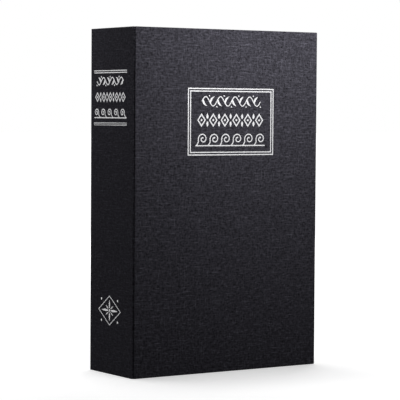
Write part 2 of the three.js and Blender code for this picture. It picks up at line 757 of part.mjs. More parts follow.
// The shaft runs through the wheels and is held in the latch, so it slides with it.
function addLatch(doorGroup) {
  const carriageY = [boltY[0], boltY[0] + carriageThickness];
  let bolt = block(carriageX, carriageY, about(middleZ, carriageHeight));
  bolt = bolt.add(block([carriageX[1] - boltThickness, boltTipX], boltY, about(middleZ, boltHeight)));
  const stemY = [knobBackY + seatGap, boltY[0] + carriageThickness / 2];
  bolt = bolt.add(block(stemX, stemY, about(middleZ, stemHeight)));
  const seat = [carriageX[0] - shaftEndGap, wheelAxisY, middleZ];
  bolt = bolt.subtract(rod("x", shaftRadius + shaftGap, seat, shaftSeatDepth + shaftEndGap, smallSides));
  addPiece(doorGroup, "latch_bolt", bolt, brightSteel);

  const shaftX = [lockX[0] + lockWall + shaftEndGap, carriageX[0] + shaftSeatDepth - shaftGap];
  let shaft = rod("x", shaftRadius, [shaftX[0], wheelAxisY, middleZ], shaftX[1] - shaftX[0], smallSides);
  for (const x of wheelX) {
    const start = [x - shaftGrooveWidth / 2, wheelAxisY, middleZ];
    const outer = rod("x", shaftRadius + shaftGrooveDepth, start, shaftGrooveWidth, smallSides);
    const core = rod("x", shaftRadius - shaftGrooveDepth, start, shaftGrooveWidth, smallSides);
    shaft = shaft.subtract(outer.subtract(core));
  }
  addPiece(doorGroup, "dial_shaft", shaft, brightSteel);

  const knobMiddle = (stemX[0] + stemX[1]) / 2;
  const knobX = about(knobMiddle, knobLength);
  const knobFrontY = knobBackY - knobThickness;
  const outline = roundedRectangle(knobX, about(middleZ, knobHeight), knobCornerRadius);
  let knob = plate(outline, [knobFrontY, knobBackY]);
  for (const x of spaced(knobRidges, knobX[0] + knobCornerRadius, knobX[1] - knobCornerRadius)) {
    const grooveY = about(knobFrontY, 2 * knobRidgeDepth);
    knob = knob.subtract(block(about(x, knobRidgeWidth), grooveY, about(middleZ, 2 * knobHeight)));
  }
  addPiece(doorGroup, "slide_knob", knob, satinChrome);
}

// A comb of sheet springs on the back plate, one finger behind each wheel.
function addDetentSpring(doorGroup) {
  const sheetBackY = plateY[0] - springPlateGap;
  const sheetFrontY = sheetBackY - springSheet;
  const crestY = wheelAxisY + wheelRadius + springGap;
  const baseStart = middleZ - springBaseDrop - springBaseHeight;
  const baseX = [wheelX[0] - springFingerWidth / 2, wheelX[wheelCount - 1] + springFingerWidth / 2];
  let comb = block(baseX, [sheetFrontY, sheetBackY], [baseStart, baseStart + springBaseHeight]);
  const profile = new THREE.Shape();
  profile.moveTo(sheetFrontY, baseStart);
  profile.lineTo(sheetBackY, baseStart);
  profile.lineTo(sheetBackY, middleZ - springBumpLength);
  profile.lineTo(crestY + springSheet, middleZ);
  profile.lineTo(sheetBackY, middleZ + springFingerPast);
  profile.lineTo(sheetFrontY, middleZ + springFingerPast);
  profile.lineTo(crestY, middleZ);
  profile.lineTo(sheetFrontY, middleZ - springBumpLength);
  for (const x of wheelX) {
    const finger = new THREE.ExtrudeGeometry(profile, { depth: springFingerWidth, bevelEnabled: false });
    finger.applyMatrix4(new THREE.Matrix4().makeBasis(axes.y, axes.z, axes.x));
    finger.translate(x - springFingerWidth / 2, 0, 0);
    comb = comb.add(toSolid(finger));
  }
  addPiece(doorGroup, "detent_spring", comb, brass);
}

// The lever behind the lock that frees the wheels for a new number.
function addResetLever(doorGroup) {
  const buttonY = [plateY[1] + resetGap, plateY[1] + resetGap + resetButtonThickness];
  const collarY = [plateY[0] - resetGap - resetCollarThickness, plateY[0] - resetGap];
  const stemY = [collarY[0], buttonY[1]];
  const stem = block(about(resetX, resetStemLength), stemY, about(middleZ, resetStemHeight));
  const button = block(about(resetX, resetButtonLength), buttonY, about(middleZ, resetButtonHeight));
  const collar = block(about(resetX, resetButtonLength), collarY, about(middleZ, resetButtonHeight));
  addPiece(doorGroup, "reset_lever", stem.add(button).add(collar), wheelPlastic);
}

function addDoor() {
  const door = new THREE.Group();
  addDoorPanel(door);
  addHinge(door);
  addHingeRivets(door);
  addLockHousing(door);
  addLockBackPlate(door);
  addLockScrews(door);
  addNumberWheels(door);
  addLatch(door);
  addDetentSpring(door);
  addResetLever(door);
  safe.add(door);
}

addFrontCover();
addBackCover();
addSpine();
addJointCloths();
addPageFrame();
addSteelBox();
addBoxScrews();
addDoor();

export default safe;
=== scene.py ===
import math
import random

import bmesh
import bpy
from mathutils import Matrix, Vector
from mathutils.geometry import delaunay_2d_cdt


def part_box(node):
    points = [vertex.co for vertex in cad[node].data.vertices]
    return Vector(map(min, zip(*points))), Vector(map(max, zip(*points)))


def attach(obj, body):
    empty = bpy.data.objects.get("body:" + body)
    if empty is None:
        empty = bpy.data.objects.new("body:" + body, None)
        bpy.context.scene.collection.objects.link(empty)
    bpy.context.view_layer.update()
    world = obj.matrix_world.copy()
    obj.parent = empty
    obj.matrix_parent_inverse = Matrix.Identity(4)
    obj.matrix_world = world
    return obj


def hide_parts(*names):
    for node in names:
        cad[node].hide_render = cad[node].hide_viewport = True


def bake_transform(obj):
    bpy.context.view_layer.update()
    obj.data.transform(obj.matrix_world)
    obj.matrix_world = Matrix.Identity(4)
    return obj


# The looks of a book-shaped diversion safe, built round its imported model.
# Metres. +X runs from the spine to the fore edge, +Y from the front cover to
# the back cover, and +Z up.

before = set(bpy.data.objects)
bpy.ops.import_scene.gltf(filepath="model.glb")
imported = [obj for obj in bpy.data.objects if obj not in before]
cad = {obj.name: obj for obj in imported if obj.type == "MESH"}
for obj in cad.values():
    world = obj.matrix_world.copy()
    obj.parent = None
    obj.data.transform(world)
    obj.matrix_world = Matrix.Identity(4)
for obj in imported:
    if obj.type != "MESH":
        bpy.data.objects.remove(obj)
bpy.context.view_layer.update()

MM = 0.001
FRONT = 1
BACK = -1


def mm(*values):
    """Millimetres as metres."""
    return tuple(value * MM for value in values)


# Camera, with its angles in degrees
CAMERA_PLACE = (-0.7497, -1.1225, 0.183)
CAMERA_AZIMUTH = -33.6
CAMERA_PITCH = 2.69
CAMERA_ROLL = 0.37
CAMERA_LENS = 170.4

# Lamps, world and floor. A softbox has its place, aim, size, power and spread in degrees
AMBIENT = 0.108
BOOK_MIDDLE = (0, 0, 0.12)
SOFTBOXES = {
    "key": ((0.05, -0.222, 0.285), (0.045, -0.03, 0.265), (0.20, 0.05), 0.28, 121),
    "spine": ((-0.22, 0.15, 0.31), (-0.0775, 0.035, 0.23), (0.10, 0.08), 0.0302, 100),
    "fill": ((0.35, -1.15, 0.15), BOOK_MIDDLE, (0.4, 0.4), 0.50, 180),
    "side": ((0.95, 0.9, 0.55), BOOK_MIDDLE, (0.7, 0.7), 4.2, 180),
}
BACK_PLACE = (0.0, 0.155, 1.0)
BACK_STRENGTH = 1.35
BACK_ANGLE = 22
FLOOR_HALF = 12
FLOOR_COLOR = (0.94, 0.94, 0.945)
FLOOR_BOUNCE = 0.15
# Floor glow seen by the camera is painted light: weaker near the object, a painted shade round its foot, and
# stronger far off
FLOOR_GLOW = 0.465
FLOOR_FAR_GLOW = 0.66
FLOOR_FAR = (0.22, 0.60)

# Mesh and shading
LEAST_RADIUS = 0.01 * MM
LEAST_SPOKE = 0.02 * MM
WELD_DISTANCE = 0.001 * MM
SHARP_DEGREES = 38
SHARP_EDGE = math.radians(32)
FLAT_ANGLE = math.radians(0.5)
NOISE_MIDDLE = (0.3, 0.7)
THREAD_PITCH = 0.5 * MM
FACE_GRAIN = 0.9
SPINE_GRAIN = 0.64

# Book cloth over the boards
FACE_SINK = 0.05 * MM
CLOTH = 0.45 * MM
EDGE_ROUND = 0.6 * MM
INNER_ROUND = 0.4 * MM
CORNER_ROUND = 0.6 * MM
TIGHT_CORNER = 0.1 * MM
JOINT_TURN = 0.9 * MM
PASTED_JOINT_TURN = 2.2 * MM
JOINT_LIP = 0.55 * MM
JOINT_SET_BACK = 0.5 * MM
JOINT_DEPTH = 0.9 * MM
JOINT_TUCK = 0.15 * MM
JOINT_CLOTH = 0.3 * MM
JOINT_FULLNESS = 0.6
SPINE_CORNER = mm(0.5, 0.7)
ARC_STEPS = 4
SPINE_ARC_STEPS = 6

# Boards and papers. A paste-down dip is (distance past the turned-in cloth, share of the dip)
SIDE_SHRINK = 0.6 * MM
BOARD_ROUND = 0.15 * MM
SHEET_ROUND = 0.08 * MM
PASTE_MARGIN = 2.4 * MM
PASTE_SHEET = 0.09 * MM
PASTE_LIFT = 0.02 * MM
PASTE_CORNER = 0.3 * MM
PASTE_JOINT_START = 1.6 * MM
PASTE_JOINT_STEP = 0.35 * MM
PASTE_DIP = 0.26 * MM
PASTE_DIPS = ((-0.3 * MM, 0), (0.1 * MM, 0.35), (0.6 * MM, 0.85), (1.4 * MM, 1.0))

# Moulded page frame. The edges are pairs (inset, distance along Y)
PAGE_PITCH = 0.8 * MM
PAGE_GROOVE = 0.22 * MM
PAGE_GROOVE_HALF = (0.26, 0.07)
PAGE_DEPTH_SHARE = (0.55, 1.0)
PAGE_WANDER = 0.12
PAGE_RISE = 0.02 * MM
PAGE_FRONT_EDGE = (mm(0.25, 0), mm(0.07, 0.08), mm(0, 0.25))
PAGE_BACK_EDGE = (mm(0, -0.25), mm(0.2, 0))
PAGE_CORNER = 1.5 * MM
FRAME_WALL = 2 * MM
FRAME_CORNER = 0.4 * MM
BEZEL_DEPTH = 2 * MM
BEZEL_ROUND = 0.4 * MM
WINDOW_CORNERS = mm(0.5, 0.6, 0.8)
SKIRT = 1.6 * MM
SKIRT_GAP = 0.3 * MM
STEEL_WALL = 1 * MM

# Foil stamped on the cloth. A row is its limits across and up, its count and its line width.
# Only the merge distance is in millimetres.
FOIL = 0.045 * MM
FOIL_FOOT = 0.02 * MM
MERGE_DISTANCE = 1e-4
FRAME_X = mm(-33.6, 38.95)
FRAME_Z = mm(152.2, 199.0)
FRAME_OUTER_LINE = 0.75 * MM
FRAME_INNER_LINE = 0.72 * MM
FRAME_INNER_START = 1.8 * MM
COVER_ROWS = (
    (mm(-22.0, 27.6), mm(185.3, 194.4), 4, 0.66 * MM),
    (mm(-27.2, 31.5), mm(172.0, 181.5), 6, 0.84 * MM),
    (mm(-27.2, 31.5), mm(158.6, 168.0), 6, 0.74 * MM),
)
SPINE_RULE_Y = mm(-20.0, 24.0)
SPINE_RULES_Z = (
    mm(210.2, 210.8),
    mm(208.8, 209.4),
    mm(174.4, 174.7),
    mm(173.55, 173.85),
    mm(172.7, 173.0),
)
SPINE_ROWS = (
    (mm(-15.5, 20.0), mm(199.8, 206.8), 3, 0.8 * MM),
    (mm(-19.5, 23.5), mm(188.6, 195.8), 5, 0.8 * MM),
    (mm(-19.5, 23.5), mm(177.6, 184.8), 5, 0.75 * MM),
)

# Ornament, in shares of a motif's length and height or of the line's width, with turns in degrees
LEAF_FULLNESS = 0.8
STEM_STEPS = 16
STEM_RISE = 0.36
LEAF_ROOT = (-0.19, 0.20)
LEAF_TIP = (0.10, -0.38)
LEAF_WIDTH = 2.3
LEAF_BEND = 0.16
BERRY_PLACE = (0.25, 0.42)
BERRY_RADIUS = 0.75
LOZENGE_HALF = 0.36
BEAD_RADIUS = 0.9
BETWEEN_ROOT = 0.16
BETWEEN_WIDTH = 2.1
SCROLL_MIDDLE = 0.62
SCROLL_FOOT = 0.02
SCROLL_KNEE = (0.16, 0.06)
RISE_STEPS = 6
COIL_STEPS = 32
COIL_START = 205
COIL_TURN = 470
COIL_CLOSE = 0.78
COIL_END = 0.8

# Emblem. A reach is a share of its half size
EMBLEM_MIDDLE = mm(1.9, 44.4)
EMBLEM_HALF = mm(15.0, 10.4)
EMBLEM_LINE = 0.5 * MM
LONG_LEAF_ROOT = 1.3 * MM
LONG_LEAF_REACH = 0.72
LONG_LEAF_WIDTH = 1.5 * MM
SHORT_LEAF_ROOT = mm(1.3, 1.0)
SHORT_LEAF_REACH = 0.34
SHORT_LEAF_WIDTH = 0.8 * MM
OUTER_DOT = 0.8 * MM
OUTER_DOT_REACH = 0.72
MIDDLE_DOT = 0.9 * MM

# Fasteners. A rivet's tail is pairs (share of its height left, share of the head's radius)
FASTENER_SIDES = 36
FASTENER_SHARP_DEGREES = 40
HEAD_STEPS = 6
HEAD_FULLNESS = 0.8
SHANK_START = 0.02 * MM
SHANK_CHAMFER = 0.2 * MM
RIVET_TAIL = ((1, 0.9), (0.35, 0.86), (0, 0.6))
SLOT_DEPTH_SHARE = 0.45

# Number wheels, knob and index marks
GRIP_WIDTH = 1.6 * MM
GRIP_TEETH = 20
POINTS_PER_TOOTH = 8
TOOTH_SHARPNESS = 1.6
GRIP_DEPTH = 0.45 * MM
GRIP_CHAMFER = 0.25 * MM
BAND_ROUND = 0.2 * MM
WHEEL_BORE = 5 * MM
WHEEL_CHAMFER = 0.15 * MM
NUMERAL_SIZE = 4.3 * MM
NUMERAL_HEIGHT = 0.04 * MM
NUMERAL_SINK = 0.01 * MM
NUMERAL_CUTS = 4
NUMERAL_CUT_PITCH = 0.45 * MM
KNOB_RIDGES = 4
POINTS_PER_RIDGE = 10
KNOB_RIDGE_DEPTH = 0.4 * MM
KNOB_ROUND = 0.35 * MM
KNOB_MARGIN = 1.2 * MM
KNOB_CORNER = 1.4 * MM
MARK_HALF = 0.3 * MM
MARK_GAP = 1.2 * MM
FIRST_MARK_END = 4.2 * MM
LAST_MARK_END = 3.4 * MM
MARK_SINK = 0.02 * MM
MARK_PROUD = 0.03 * MM

random.seed(11)


# Meshes

def add_object(name, data):
    """A new object in the scene."""
    made = bpy.data.objects.new(name, data)
    bpy.context.scene.collection.objects.link(made)
    return made


def add_mesh(name, bm, sharp_degrees=SHARP_DEGREES):
    """A new object from a bmesh, shaded smooth but for its sharp edges."""
    bmesh.ops.recalc_face_normals(bm, faces=bm.faces)
    mesh = bpy.data.meshes.new(name)
    bm.to_mesh(mesh)
    bm.free()
    mesh.shade_smooth()
    mesh.set_sharp_from_angle(angle=math.radians(sharp_degrees))
    return add_object(name, mesh)


def rounded_loop(axis, level, range_a, range_b, radius, steps=ARC_STEPS):
    """The points of a rounded rectangle at one level along the X or Y axis."""
    radius = max(radius, LEAST_RADIUS)
    centres = (
        (range_a[1] - radius, range_b[0] + radius, -90),
        (range_a[1] - radius, range_b[1] - radius, 0),
        (range_a[0] + radius, range_b[1] - radius, 90),
        (range_a[0] + radius, range_b[0] + radius, 180),
    )
    points = []
    for a, b, start in centres:
        for step in range(steps + 1):
            angle = math.radians(start + 90 * step / steps)
            pa = a + radius * math.cos(angle)
            pb = b + radius * math.sin(angle)
            points.append((level, pa, pb) if axis == "x" else (pa, level, pb))
    return points


def inset(limits, amount, start_amount=None):
    """Limits drawn in at both ends, by another amount at the start if given."""
    first = amount if start_amount is None else start_amount
    return (limits[0] + first, limits[1] - amount)


def loft(bm, rings, wrap=False):
    """Quads between rings of points, with the ends closed or joined to each other."""
    rows = [[bm.verts.new(point) for point in ring] for ring in rings]
    following = rows[1:] + ([rows[0]] if wrap else [])
    for row, after in zip(rows, following):
        for index in range(len(row)):
            beside = (index + 1) % len(row)
            bm.faces.new((row[index], row[beside], after[beside], after[index]))
    if not wrap:
        bm.faces.new(rows[0])
        bm.faces.new(rows[-1])


def lofted(name, rings, sharp_degrees=SHARP_DEGREES, wrap=False):
    """A piece through rings of points, whose large flat faces keep their own normal."""
    bm = bmesh.new()
    loft(bm, rings, wrap)
    piece = add_mesh(name, bm, sharp_degrees)
    weighted = piece.modifiers.new("even normals", "WEIGHTED_NORMAL")
    weighted.keep_sharp = True
    return piece


def rectangle(limits_a, limits_b):
    """The four corners between two pairs of limits."""
    (a, other_a), (b, other_b) = limits_a, limits_b
    return [(a, b), (other_a, b), (other_a, other_b), (a, other_b)]


def slab(bm, corners, levels):
    """A prism from its corners (x, z) and its two levels along Y."""
    loft(bm, [[(x, y, z) for x, z in corners] for y in levels])


def turned(bm, axis, centre, profile, sides):
    """A solid of revolution from (distance along, radius) pairs that start and end at radius 0."""
    along = {"x": Vector((1, 0, 0)), "y": Vector((0, 1, 0)), "z": Vector((0, 0, 1))}[axis]
    across = along.orthogonal().normalized()
    other = along.cross(across)
    rings = []
    for distance, radius in profile:
        ring = []
        for side in range(sides):
            angle = 2 * math.pi * side / sides
            spoke = math.cos(angle) * across + math.sin(angle) * other
            ring.append(Vector(centre) + along * distance + spoke * max(radius, LEAST_SPOKE))
        rings.append(ring)
    loft(bm, rings)


def evaluated_mesh(piece):
    """The mesh of an object with its modifiers applied."""
    graph = bpy.context.evaluated_depsgraph_get()
    return bpy.data.meshes.new_from_object(piece.evaluated_get(graph))


def carve(piece, cutter_bm):
    """Cuts a bmesh away from a piece and keeps the result as the piece's own mesh."""
    cutter = add_mesh("cutter", cutter_bm)
    cut = piece.modifiers.new("cut", "BOOLEAN")
    cut.operation = "DIFFERENCE"
    cut.solver = "EXACT"
    cut.object = cutter
    mesh = evaluated_mesh(piece)
    piece.modifiers.remove(cut)
    piece.data = mesh
    bpy.data.objects.remove(cutter)


def ranges(node):
    """The limits of a CAD node along X, Y and Z."""
    low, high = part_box(node)
    return tuple(zip(low, high))


def range_of(node, axis):
    """The limits of a CAD node along X, Y or Z, which are 0, 1 and 2."""
    return ranges(node)[axis]


# Materials

class NodeNet:
    """Adds nodes to one tree and links them."""

    def __init__(self, tree):
        self.tree = tree

    def feed(self, spot, value):
        """Links an input to a socket, or gives it a plain value."""
        if isinstance(value, bpy.types.NodeSocket):
            self.tree.links.new(value, spot)
        else:
            spot.default_value = value

    def wire(self, node, **values):
        """Feeds a node's inputs by name, with spaces written as underscores."""
        for name, value in values.items():
            self.feed(node.inputs[name.replace("_", " ")], value)
        return node

    def add(self, kind, **values):
        return self.wire(self.tree.nodes.new(kind), **values)

    def calculate(self, operation, *values):
        made = self.tree.nodes.new("ShaderNodeMath")
        made.operation = operation
        for spot, value in zip(made.inputs, values):
            self.feed(spot, value)
        return made.outputs[0]

    def total(self, *values):
        result = values[0]
        for value in values[1:]:
            result = self.calculate("ADD", result, value)
        return result

    def spread(self, value, low, high, new_low, new_high):
        """Maps one range of a value to another, held at its ends."""
        ends = {"From_Min": low, "From_Max": high, "To_Min": new_low, "To_Max": new_high}
        return self.add("ShaderNodeMapRange", Value=value, **ends).outputs["Result"]

    def vary(self, noise, low, high):
        """Maps the middle of a noise to a range, held at its ends."""
        return self.spread(noise, *NOISE_MIDDLE, low, high)

    def seen_directly(self):
        """1 for camera, glossy and transmission rays, and 0 for the rest."""
        ray = self.add("ShaderNodeLightPath").outputs
        seen = self.calculate("MAXIMUM", ray["Is Camera Ray"], ray["Is Glossy Ray"])
        return self.calculate("MAXIMUM", seen, ray["Is Transmission Ray"])


class Finish(NodeNet):
    """A Principled material whose detail comes from a short chain of nodes."""

    def __init__(self, name, color, roughness, metallic=0.0, specular=0.5):
        self.material = bpy.data.materials.new(name)
        self.material.use_nodes = True
        super().__init__(self.material.node_tree)
        self.shader = self.tree.nodes["Principled BSDF"]
        self.color = color
        self.shade(Base_Color=(*color, 1), Roughness=roughness)
        self.shade(Metallic=metallic, Specular_IOR_Level=specular)
        self.place = self.add("ShaderNodeTexCoord")

    def shade(self, **values):
        """Feeds the shader's inputs by name."""
        self.wire(self.shader, **values)

    def noise(self, scale, detail=2.0, roughness=0.5, place=None):
        """Noise from 0 to 1, with one scale per metre or one for each axis."""
        scales = scale if isinstance(scale, tuple) else (scale, scale, scale)
        where = place or self.place.outputs["Object"]
        mapped = self.add("ShaderNodeMapping", Vector=where, Scale=scales).outputs["Vector"]
        values = {"Vector": mapped, "Scale": 1.0, "Detail": detail, "Roughness": roughness}
        return self.add("ShaderNodeTexNoise", **values).outputs[0]

    def tint(self, tone):
        """The base colour times a tone that varies about 1."""
        scaled = self.tree.nodes.new("ShaderNodeVectorMath")
        scaled.operation = "SCALE"
        scaled.inputs[0].default_value = self.color
        self.feed(scaled.inputs["Scale"], tone)
        self.shade(Base_Color=scaled.outputs["Vector"])

    def emboss(self, height, distance, strength=1.0):
        bump = self.add("ShaderNodeBump", Height=height, Distance=distance, Strength=strength)
        self.shade(Normal=bump.outputs["Normal"])


def finished(name, color, roughness, **kinds):
    """Turns the function below it, which draws on a finish, into that finish's material."""
    def make(draw):
        finish = Finish(name, color, roughness, **kinds)
        draw(finish)
        return finish.material
    return make


def cloth_place(finish):
    """Coordinates along the cloth: across the threads of either face, and up."""
    split = finish.add("ShaderNodeSeparateXYZ", Vector=finish.place.outputs["Object"])
    facing = finish.add("ShaderNodeSeparateXYZ", Vector=finish.place.outputs["Normal"])
    across = finish.calculate("SUBTRACT", split.outputs["X"], split.outputs["Y"])
    level = finish.calculate("ABSOLUTE", facing.outputs["Z"])
    on_end = finish.calculate("GREATER_THAN", level, 0.5)
    end_share = finish.calculate("MULTIPLY", on_end, split.outputs["Y"])
    up = finish.calculate("ADD", split.outputs["Z"], end_share)
    joined = finish.add("ShaderNodeCombineXYZ", X=across, Y=up)
    return joined.outputs["Vector"], across, up


def woven_tone(finish, place):
    """Uneven threads both ways: short streaks, longer slubs and a fine mottle."""
    weft = finish.noise((300, 900, 1), 1.0, 0.5, place)
    warp = finish.noise((900, 300, 1), 1.0, 0.5, place)
    mottle = finish.noise((680, 680, 1), 1.0, 0.5, place)
    slub = finish.noise((80, 1300, 1), 1.0, 0.5, place)
    warp_slub = finish.noise((1300, 90, 1), 1.0, 0.5, place)
    patch = finish.noise((60, 60, 1), 2.0, 0.5, place)
    uneven = finish.total(
        finish.vary(weft, -0.30, 0.30),
        finish.vary(warp, -0.26, 0.26),
        finish.vary(mottle, -0.33, 0.33),
        finish.spread(weft, 0.62, 0.8, 0.0, 0.75),
        finish.spread(slub, 0.61, 0.76, -0.04, 1.25),
        finish.spread(warp_slub, 0.63, 0.78, -0.03, 1.05),
        finish.vary(patch, -0.05, 0.05),
    )
    facing = finish.add("ShaderNodeSeparateXYZ", Vector=finish.place.outputs["Normal"])
    on_spine = finish.calculate("ABSOLUTE", facing.outputs["X"])
    calm = finish.spread(on_spine, 0.5, 0.9, FACE_GRAIN, SPINE_GRAIN)
    return finish.calculate("MULTIPLY_ADD", uneven, calm, 1.0)


def weave_height(finish, across, up):
    """Plain weave: threads rise and fall out of step with their neighbours."""
    turn = math.pi / THREAD_PITCH
    waves = [finish.calculate("SINE", finish.calculate("MULTIPLY", along, turn)) for along in (across, up)]
    crossing = finish.calculate("MULTIPLY", *waves)
    ridge = finish.calculate("MAXIMUM", *(finish.calculate("ABSOLUTE", wave) for wave in waves))
    return finish.calculate("MULTIPLY_ADD", crossing, 0.35, ridge)


@finished("book_cloth", (0.0560, 0.0539, 0.0665), 0.85, specular=0.03)
def book_cloth(finish):
    place, across, up = cloth_place(finish)
    tone = woven_tone(finish, place)
    weave = weave_height(finish, across, up)
    finish.tint(finish.calculate("MULTIPLY", tone, finish.spread(weave, 0.2, 1.3, 0.70, 1.18)))
    height = finish.calculate("MULTIPLY_ADD", weave, 0.4, tone)
    finish.emboss(height, 0.08 * MM, 0.85)


@finished("silver_foil", (0.69, 0.69, 0.70), 0.5, metallic=0.7)
def foil(finish):
    place, across, up = cloth_place(finish)
    tone = woven_tone(finish, place)
    finish.tint(finish.spread(tone, 0.6, 1.5, 0.86, 1.0))
    finish.shade(Roughness=finish.spread(tone, 0.6, 1.5, 0.58, 0.44))
    finish.emboss(weave_height(finish, across, up), 0.03 * MM, 0.6)


@finished("grey_board", (0.36, 0.33, 0.28), 0.9, specular=0.2)
def grey_board(finish):
    fibre = finish.noise((700, 2600, 700), 4.0, 0.7)
    finish.tint(finish.vary(fibre, 0.82, 1.12))
    finish.emboss(fibre, 0.12 * MM)


@finished("endpaper", (0.022, 0.022, 0.024), 0.78, specular=0.25)
def endpaper(finish):
    fibre = finish.noise(1500, 4.0, 0.65)
    cloud = finish.noise(90, 2.0)
    tone = finish.total(finish.vary(fibre, -0.14, 0.14), finish.vary(cloud, 0.94, 1.06))
    finish.tint(tone)
    finish.emboss(fibre, 0.04 * MM)


@finished("page_plastic", (0.70, 0.65, 0.535), 0.55, specular=0.4)
def page_plastic(finish):
    sheet = finish.noise((4, 1500, 4), 3.0, 0.6)
    bundle = finish.noise((12, 160, 12), 2.0, 0.5)
    grain = finish.noise(1200, 2.0, 0.6)
    tone = finish.total(
        finish.vary(sheet, -0.10, 0.06),
        finish.vary(bundle, -0.08, 0.04),
        finish.vary(grain, 0.98, 1.01),
    )
    finish.tint(tone)
    finish.emboss(sheet, 0.05 * MM)


@finished("black_steel", (0.019, 0.019, 0.021), 0.5, specular=0.45)
def black_steel(finish):
    orange_peel = finish.noise(2400, 2.0, 0.5)
    rub = finish.noise((140, 140, 30), 4.0, 0.65)
    tone = finish.total(finish.vary(orange_peel, -0.12, 0.12), finish.spread(rub, 0.55, 0.8, 1.0, 1.5))
    finish.tint(tone)
    finish.shade(Roughness=finish.spread(rub, 0.3, 0.75, 0.56, 0.42))
    finish.emboss(orange_peel, 0.06 * MM)


@finished("bright_steel", (0.56, 0.57, 0.60), 0.32, metallic=1.0)
def bright_steel(finish):
    spangle = finish.noise(500, 3.0, 0.6)
    scratch = finish.noise((3000, 3000, 120), 2.0, 0.6)
    finish.tint(finish.vary(spangle, 0.86, 1.06))
    finish.shade(Roughness=finish.vary(spangle, 0.26, 0.42))
    finish.emboss(scratch, 0.01 * MM)


@finished("satin_chrome", (0.66, 0.67, 0.69), 0.28, metallic=1.0)
def satin_chrome(finish):
    brushed = finish.noise((90, 90, 5200), 3.0, 0.7)
    cloud = finish.noise(150, 2.0)
    finish.tint(finish.vary(cloud, 0.93, 1.04))
    finish.shade(Roughness=finish.vary(brushed, 0.22, 0.38))
    finish.emboss(brushed, 0.003 * MM)


@finished("wheel_plastic", (0.014, 0.014, 0.015), 0.36, specular=0.5)
def wheel_plastic(finish):
    grain = finish.noise(2600, 2.0)
    cloud = finish.noise(260, 2.0)
    finish.tint(finish.vary(cloud, 0.85, 1.2))
    finish.shade(Roughness=finish.vary(cloud, 0.3, 0.44))
    finish.emboss(grain, 0.012 * MM)


@finished("white_paint", (0.78, 0.78, 0.76), 0.5)
def white_paint(finish):
    worn = finish.noise(900, 3.0, 0.6)
    finish.tint(finish.vary(worn, 0.86, 1.04))
    finish.emboss(worn, 0.01 * MM)


@finished("brass", (0.60, 0.43, 0.17), 0.34, metallic=1.0)
def brass(finish):
    tarnish = finish.noise(420, 3.0, 0.6)
    finish.tint(finish.vary(tarnish, 0.8, 1.08))
    finish.shade(Roughness=finish.vary(tarnish, 0.44, 0.28))


@finished("black_felt", (0.017, 0.017, 0.020), 0.95, specular=0.1)
def black_felt(finish):
    finish.shade(Sheen_Weight=0.12, Sheen_Roughness=0.6)
    fluff = finish.noise(1900, 5.0, 0.75)
    matted = finish.noise(240, 3.0, 0.6)
    finish.tint(finish.total(finish.vary(fluff, -0.3, 0.35), finish.vary(matted, 0.85, 1.15)))
    finish.emboss(finish.calculate("MULTIPLY_ADD", matted, 0.6, fluff), 0.35 * MM)


def place_piece(piece, body, material, stands_for=()):
    """Gives a piece its material and body, and hides the CAD nodes that it stands for."""
    piece.data.materials.clear()
    piece.data.materials.append(material)
    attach(piece, body)
    if stands_for:
        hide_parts(*stands_for)


# Camera, lamps and floor

def add_camera():
    azimuth = math.radians(CAMERA_AZIMUTH)
    pitch = math.radians(CAMERA_PITCH)
    roll = math.radians(CAMERA_ROLL)
    level = math.cos(pitch)
    back = Vector((math.sin(azimuth) * level, -math.cos(azimuth) * level, math.sin(pitch)))
    level_right = Vector((0, 0, 1)).cross(back).normalized()
    level_up = back.cross(level_right)
    right = math.cos(roll) * level_right + math.sin(roll) * level_up
    up = math.cos(roll) * level_up - math.sin(roll) * level_right
    turn = Matrix((right, up, back)).transposed().to_4x4()
    data = bpy.data.cameras.new("camera")
    data.lens = CAMERA_LENS
    data.clip_start = 0.05
    data.clip_end = 50
    camera = add_object("camera", data)
    camera.matrix_world = Matrix.Translation(CAMERA_PLACE) @ turn
    bpy.context.scene.camera = camera


def add_world():
    world = bpy.data.worlds.new("studio")
    bpy.context.scene.world = world
    world.use_nodes = True
    net = NodeNet(world.node_tree)
    strength = net.spread(net.seen_directly(), 0.0, 1.0, AMBIENT, 1.0)
    net.wire(net.tree.nodes["Background"], Color=(1, 1, 1, 1), Strength=strength)


def aim(lamp, target):
    direction = Vector(target) - lamp.location
    lamp.rotation_euler = direction.to_track_quat("-Z", "Y").to_euler()


def add_softbox(name, place, target, size, power, spread):
    data = bpy.data.lights.new(name, "AREA")
    data.shape = "RECTANGLE"
    data.size, data.size_y = size
    data.spread = math.radians(spread)
    data.energy = power
    lamp = add_object(name, data)
    lamp.location = place
    aim(lamp, target)
    lamp.visible_camera = False


def add_lamps():
    for name, values in SOFTBOXES.items():
        add_softbox(name, *values)
    data = bpy.data.lights.new("back", "SUN")
    data.energy = BACK_STRENGTH
    data.angle = math.radians(BACK_ANGLE)
    back = add_object("back", data)
    back.location = BACK_PLACE
    aim(back, BOOK_MIDDLE)


def add_floor():
    """A pale floor that fades to white away from the object and keeps its shadow; the fade is a painted
    glow, weaker near the object as painted shade.
    """
    bm = bmesh.new()
    bmesh.ops.create_grid(bm, x_segments=4, y_segments=4, size=FLOOR_HALF)
    floor = add_mesh("floor", bm)
    finish = Finish("floor", FLOOR_COLOR, 0.9, specular=0.0)
    direct = finish.seen_directly()
    shade = finish.spread(direct, 0.0, 1.0, FLOOR_BOUNCE, 1.0)
    finish.tint(finish.calculate("MULTIPLY", shade, finish.vary(finish.noise(40), 0.99, 1.01)))
    reach = finish.add("ShaderNodeVectorMath")
    reach.operation = "LENGTH"
    finish.feed(reach.inputs[0], finish.place.outputs["Object"])
    # Painted glow that grows with distance: less of it near the object paints shade round its foot
    near_to_far = finish.spread(reach.outputs["Value"], *FLOOR_FAR, FLOOR_GLOW, FLOOR_FAR_GLOW)
    glow = finish.calculate("MULTIPLY", direct, near_to_far)
    finish.shade(Emission_Color=(1, 1, 1, 1), Emission_Strength=glow)
    floor.data.materials.append(finish.material)


# The case: cloth over boards

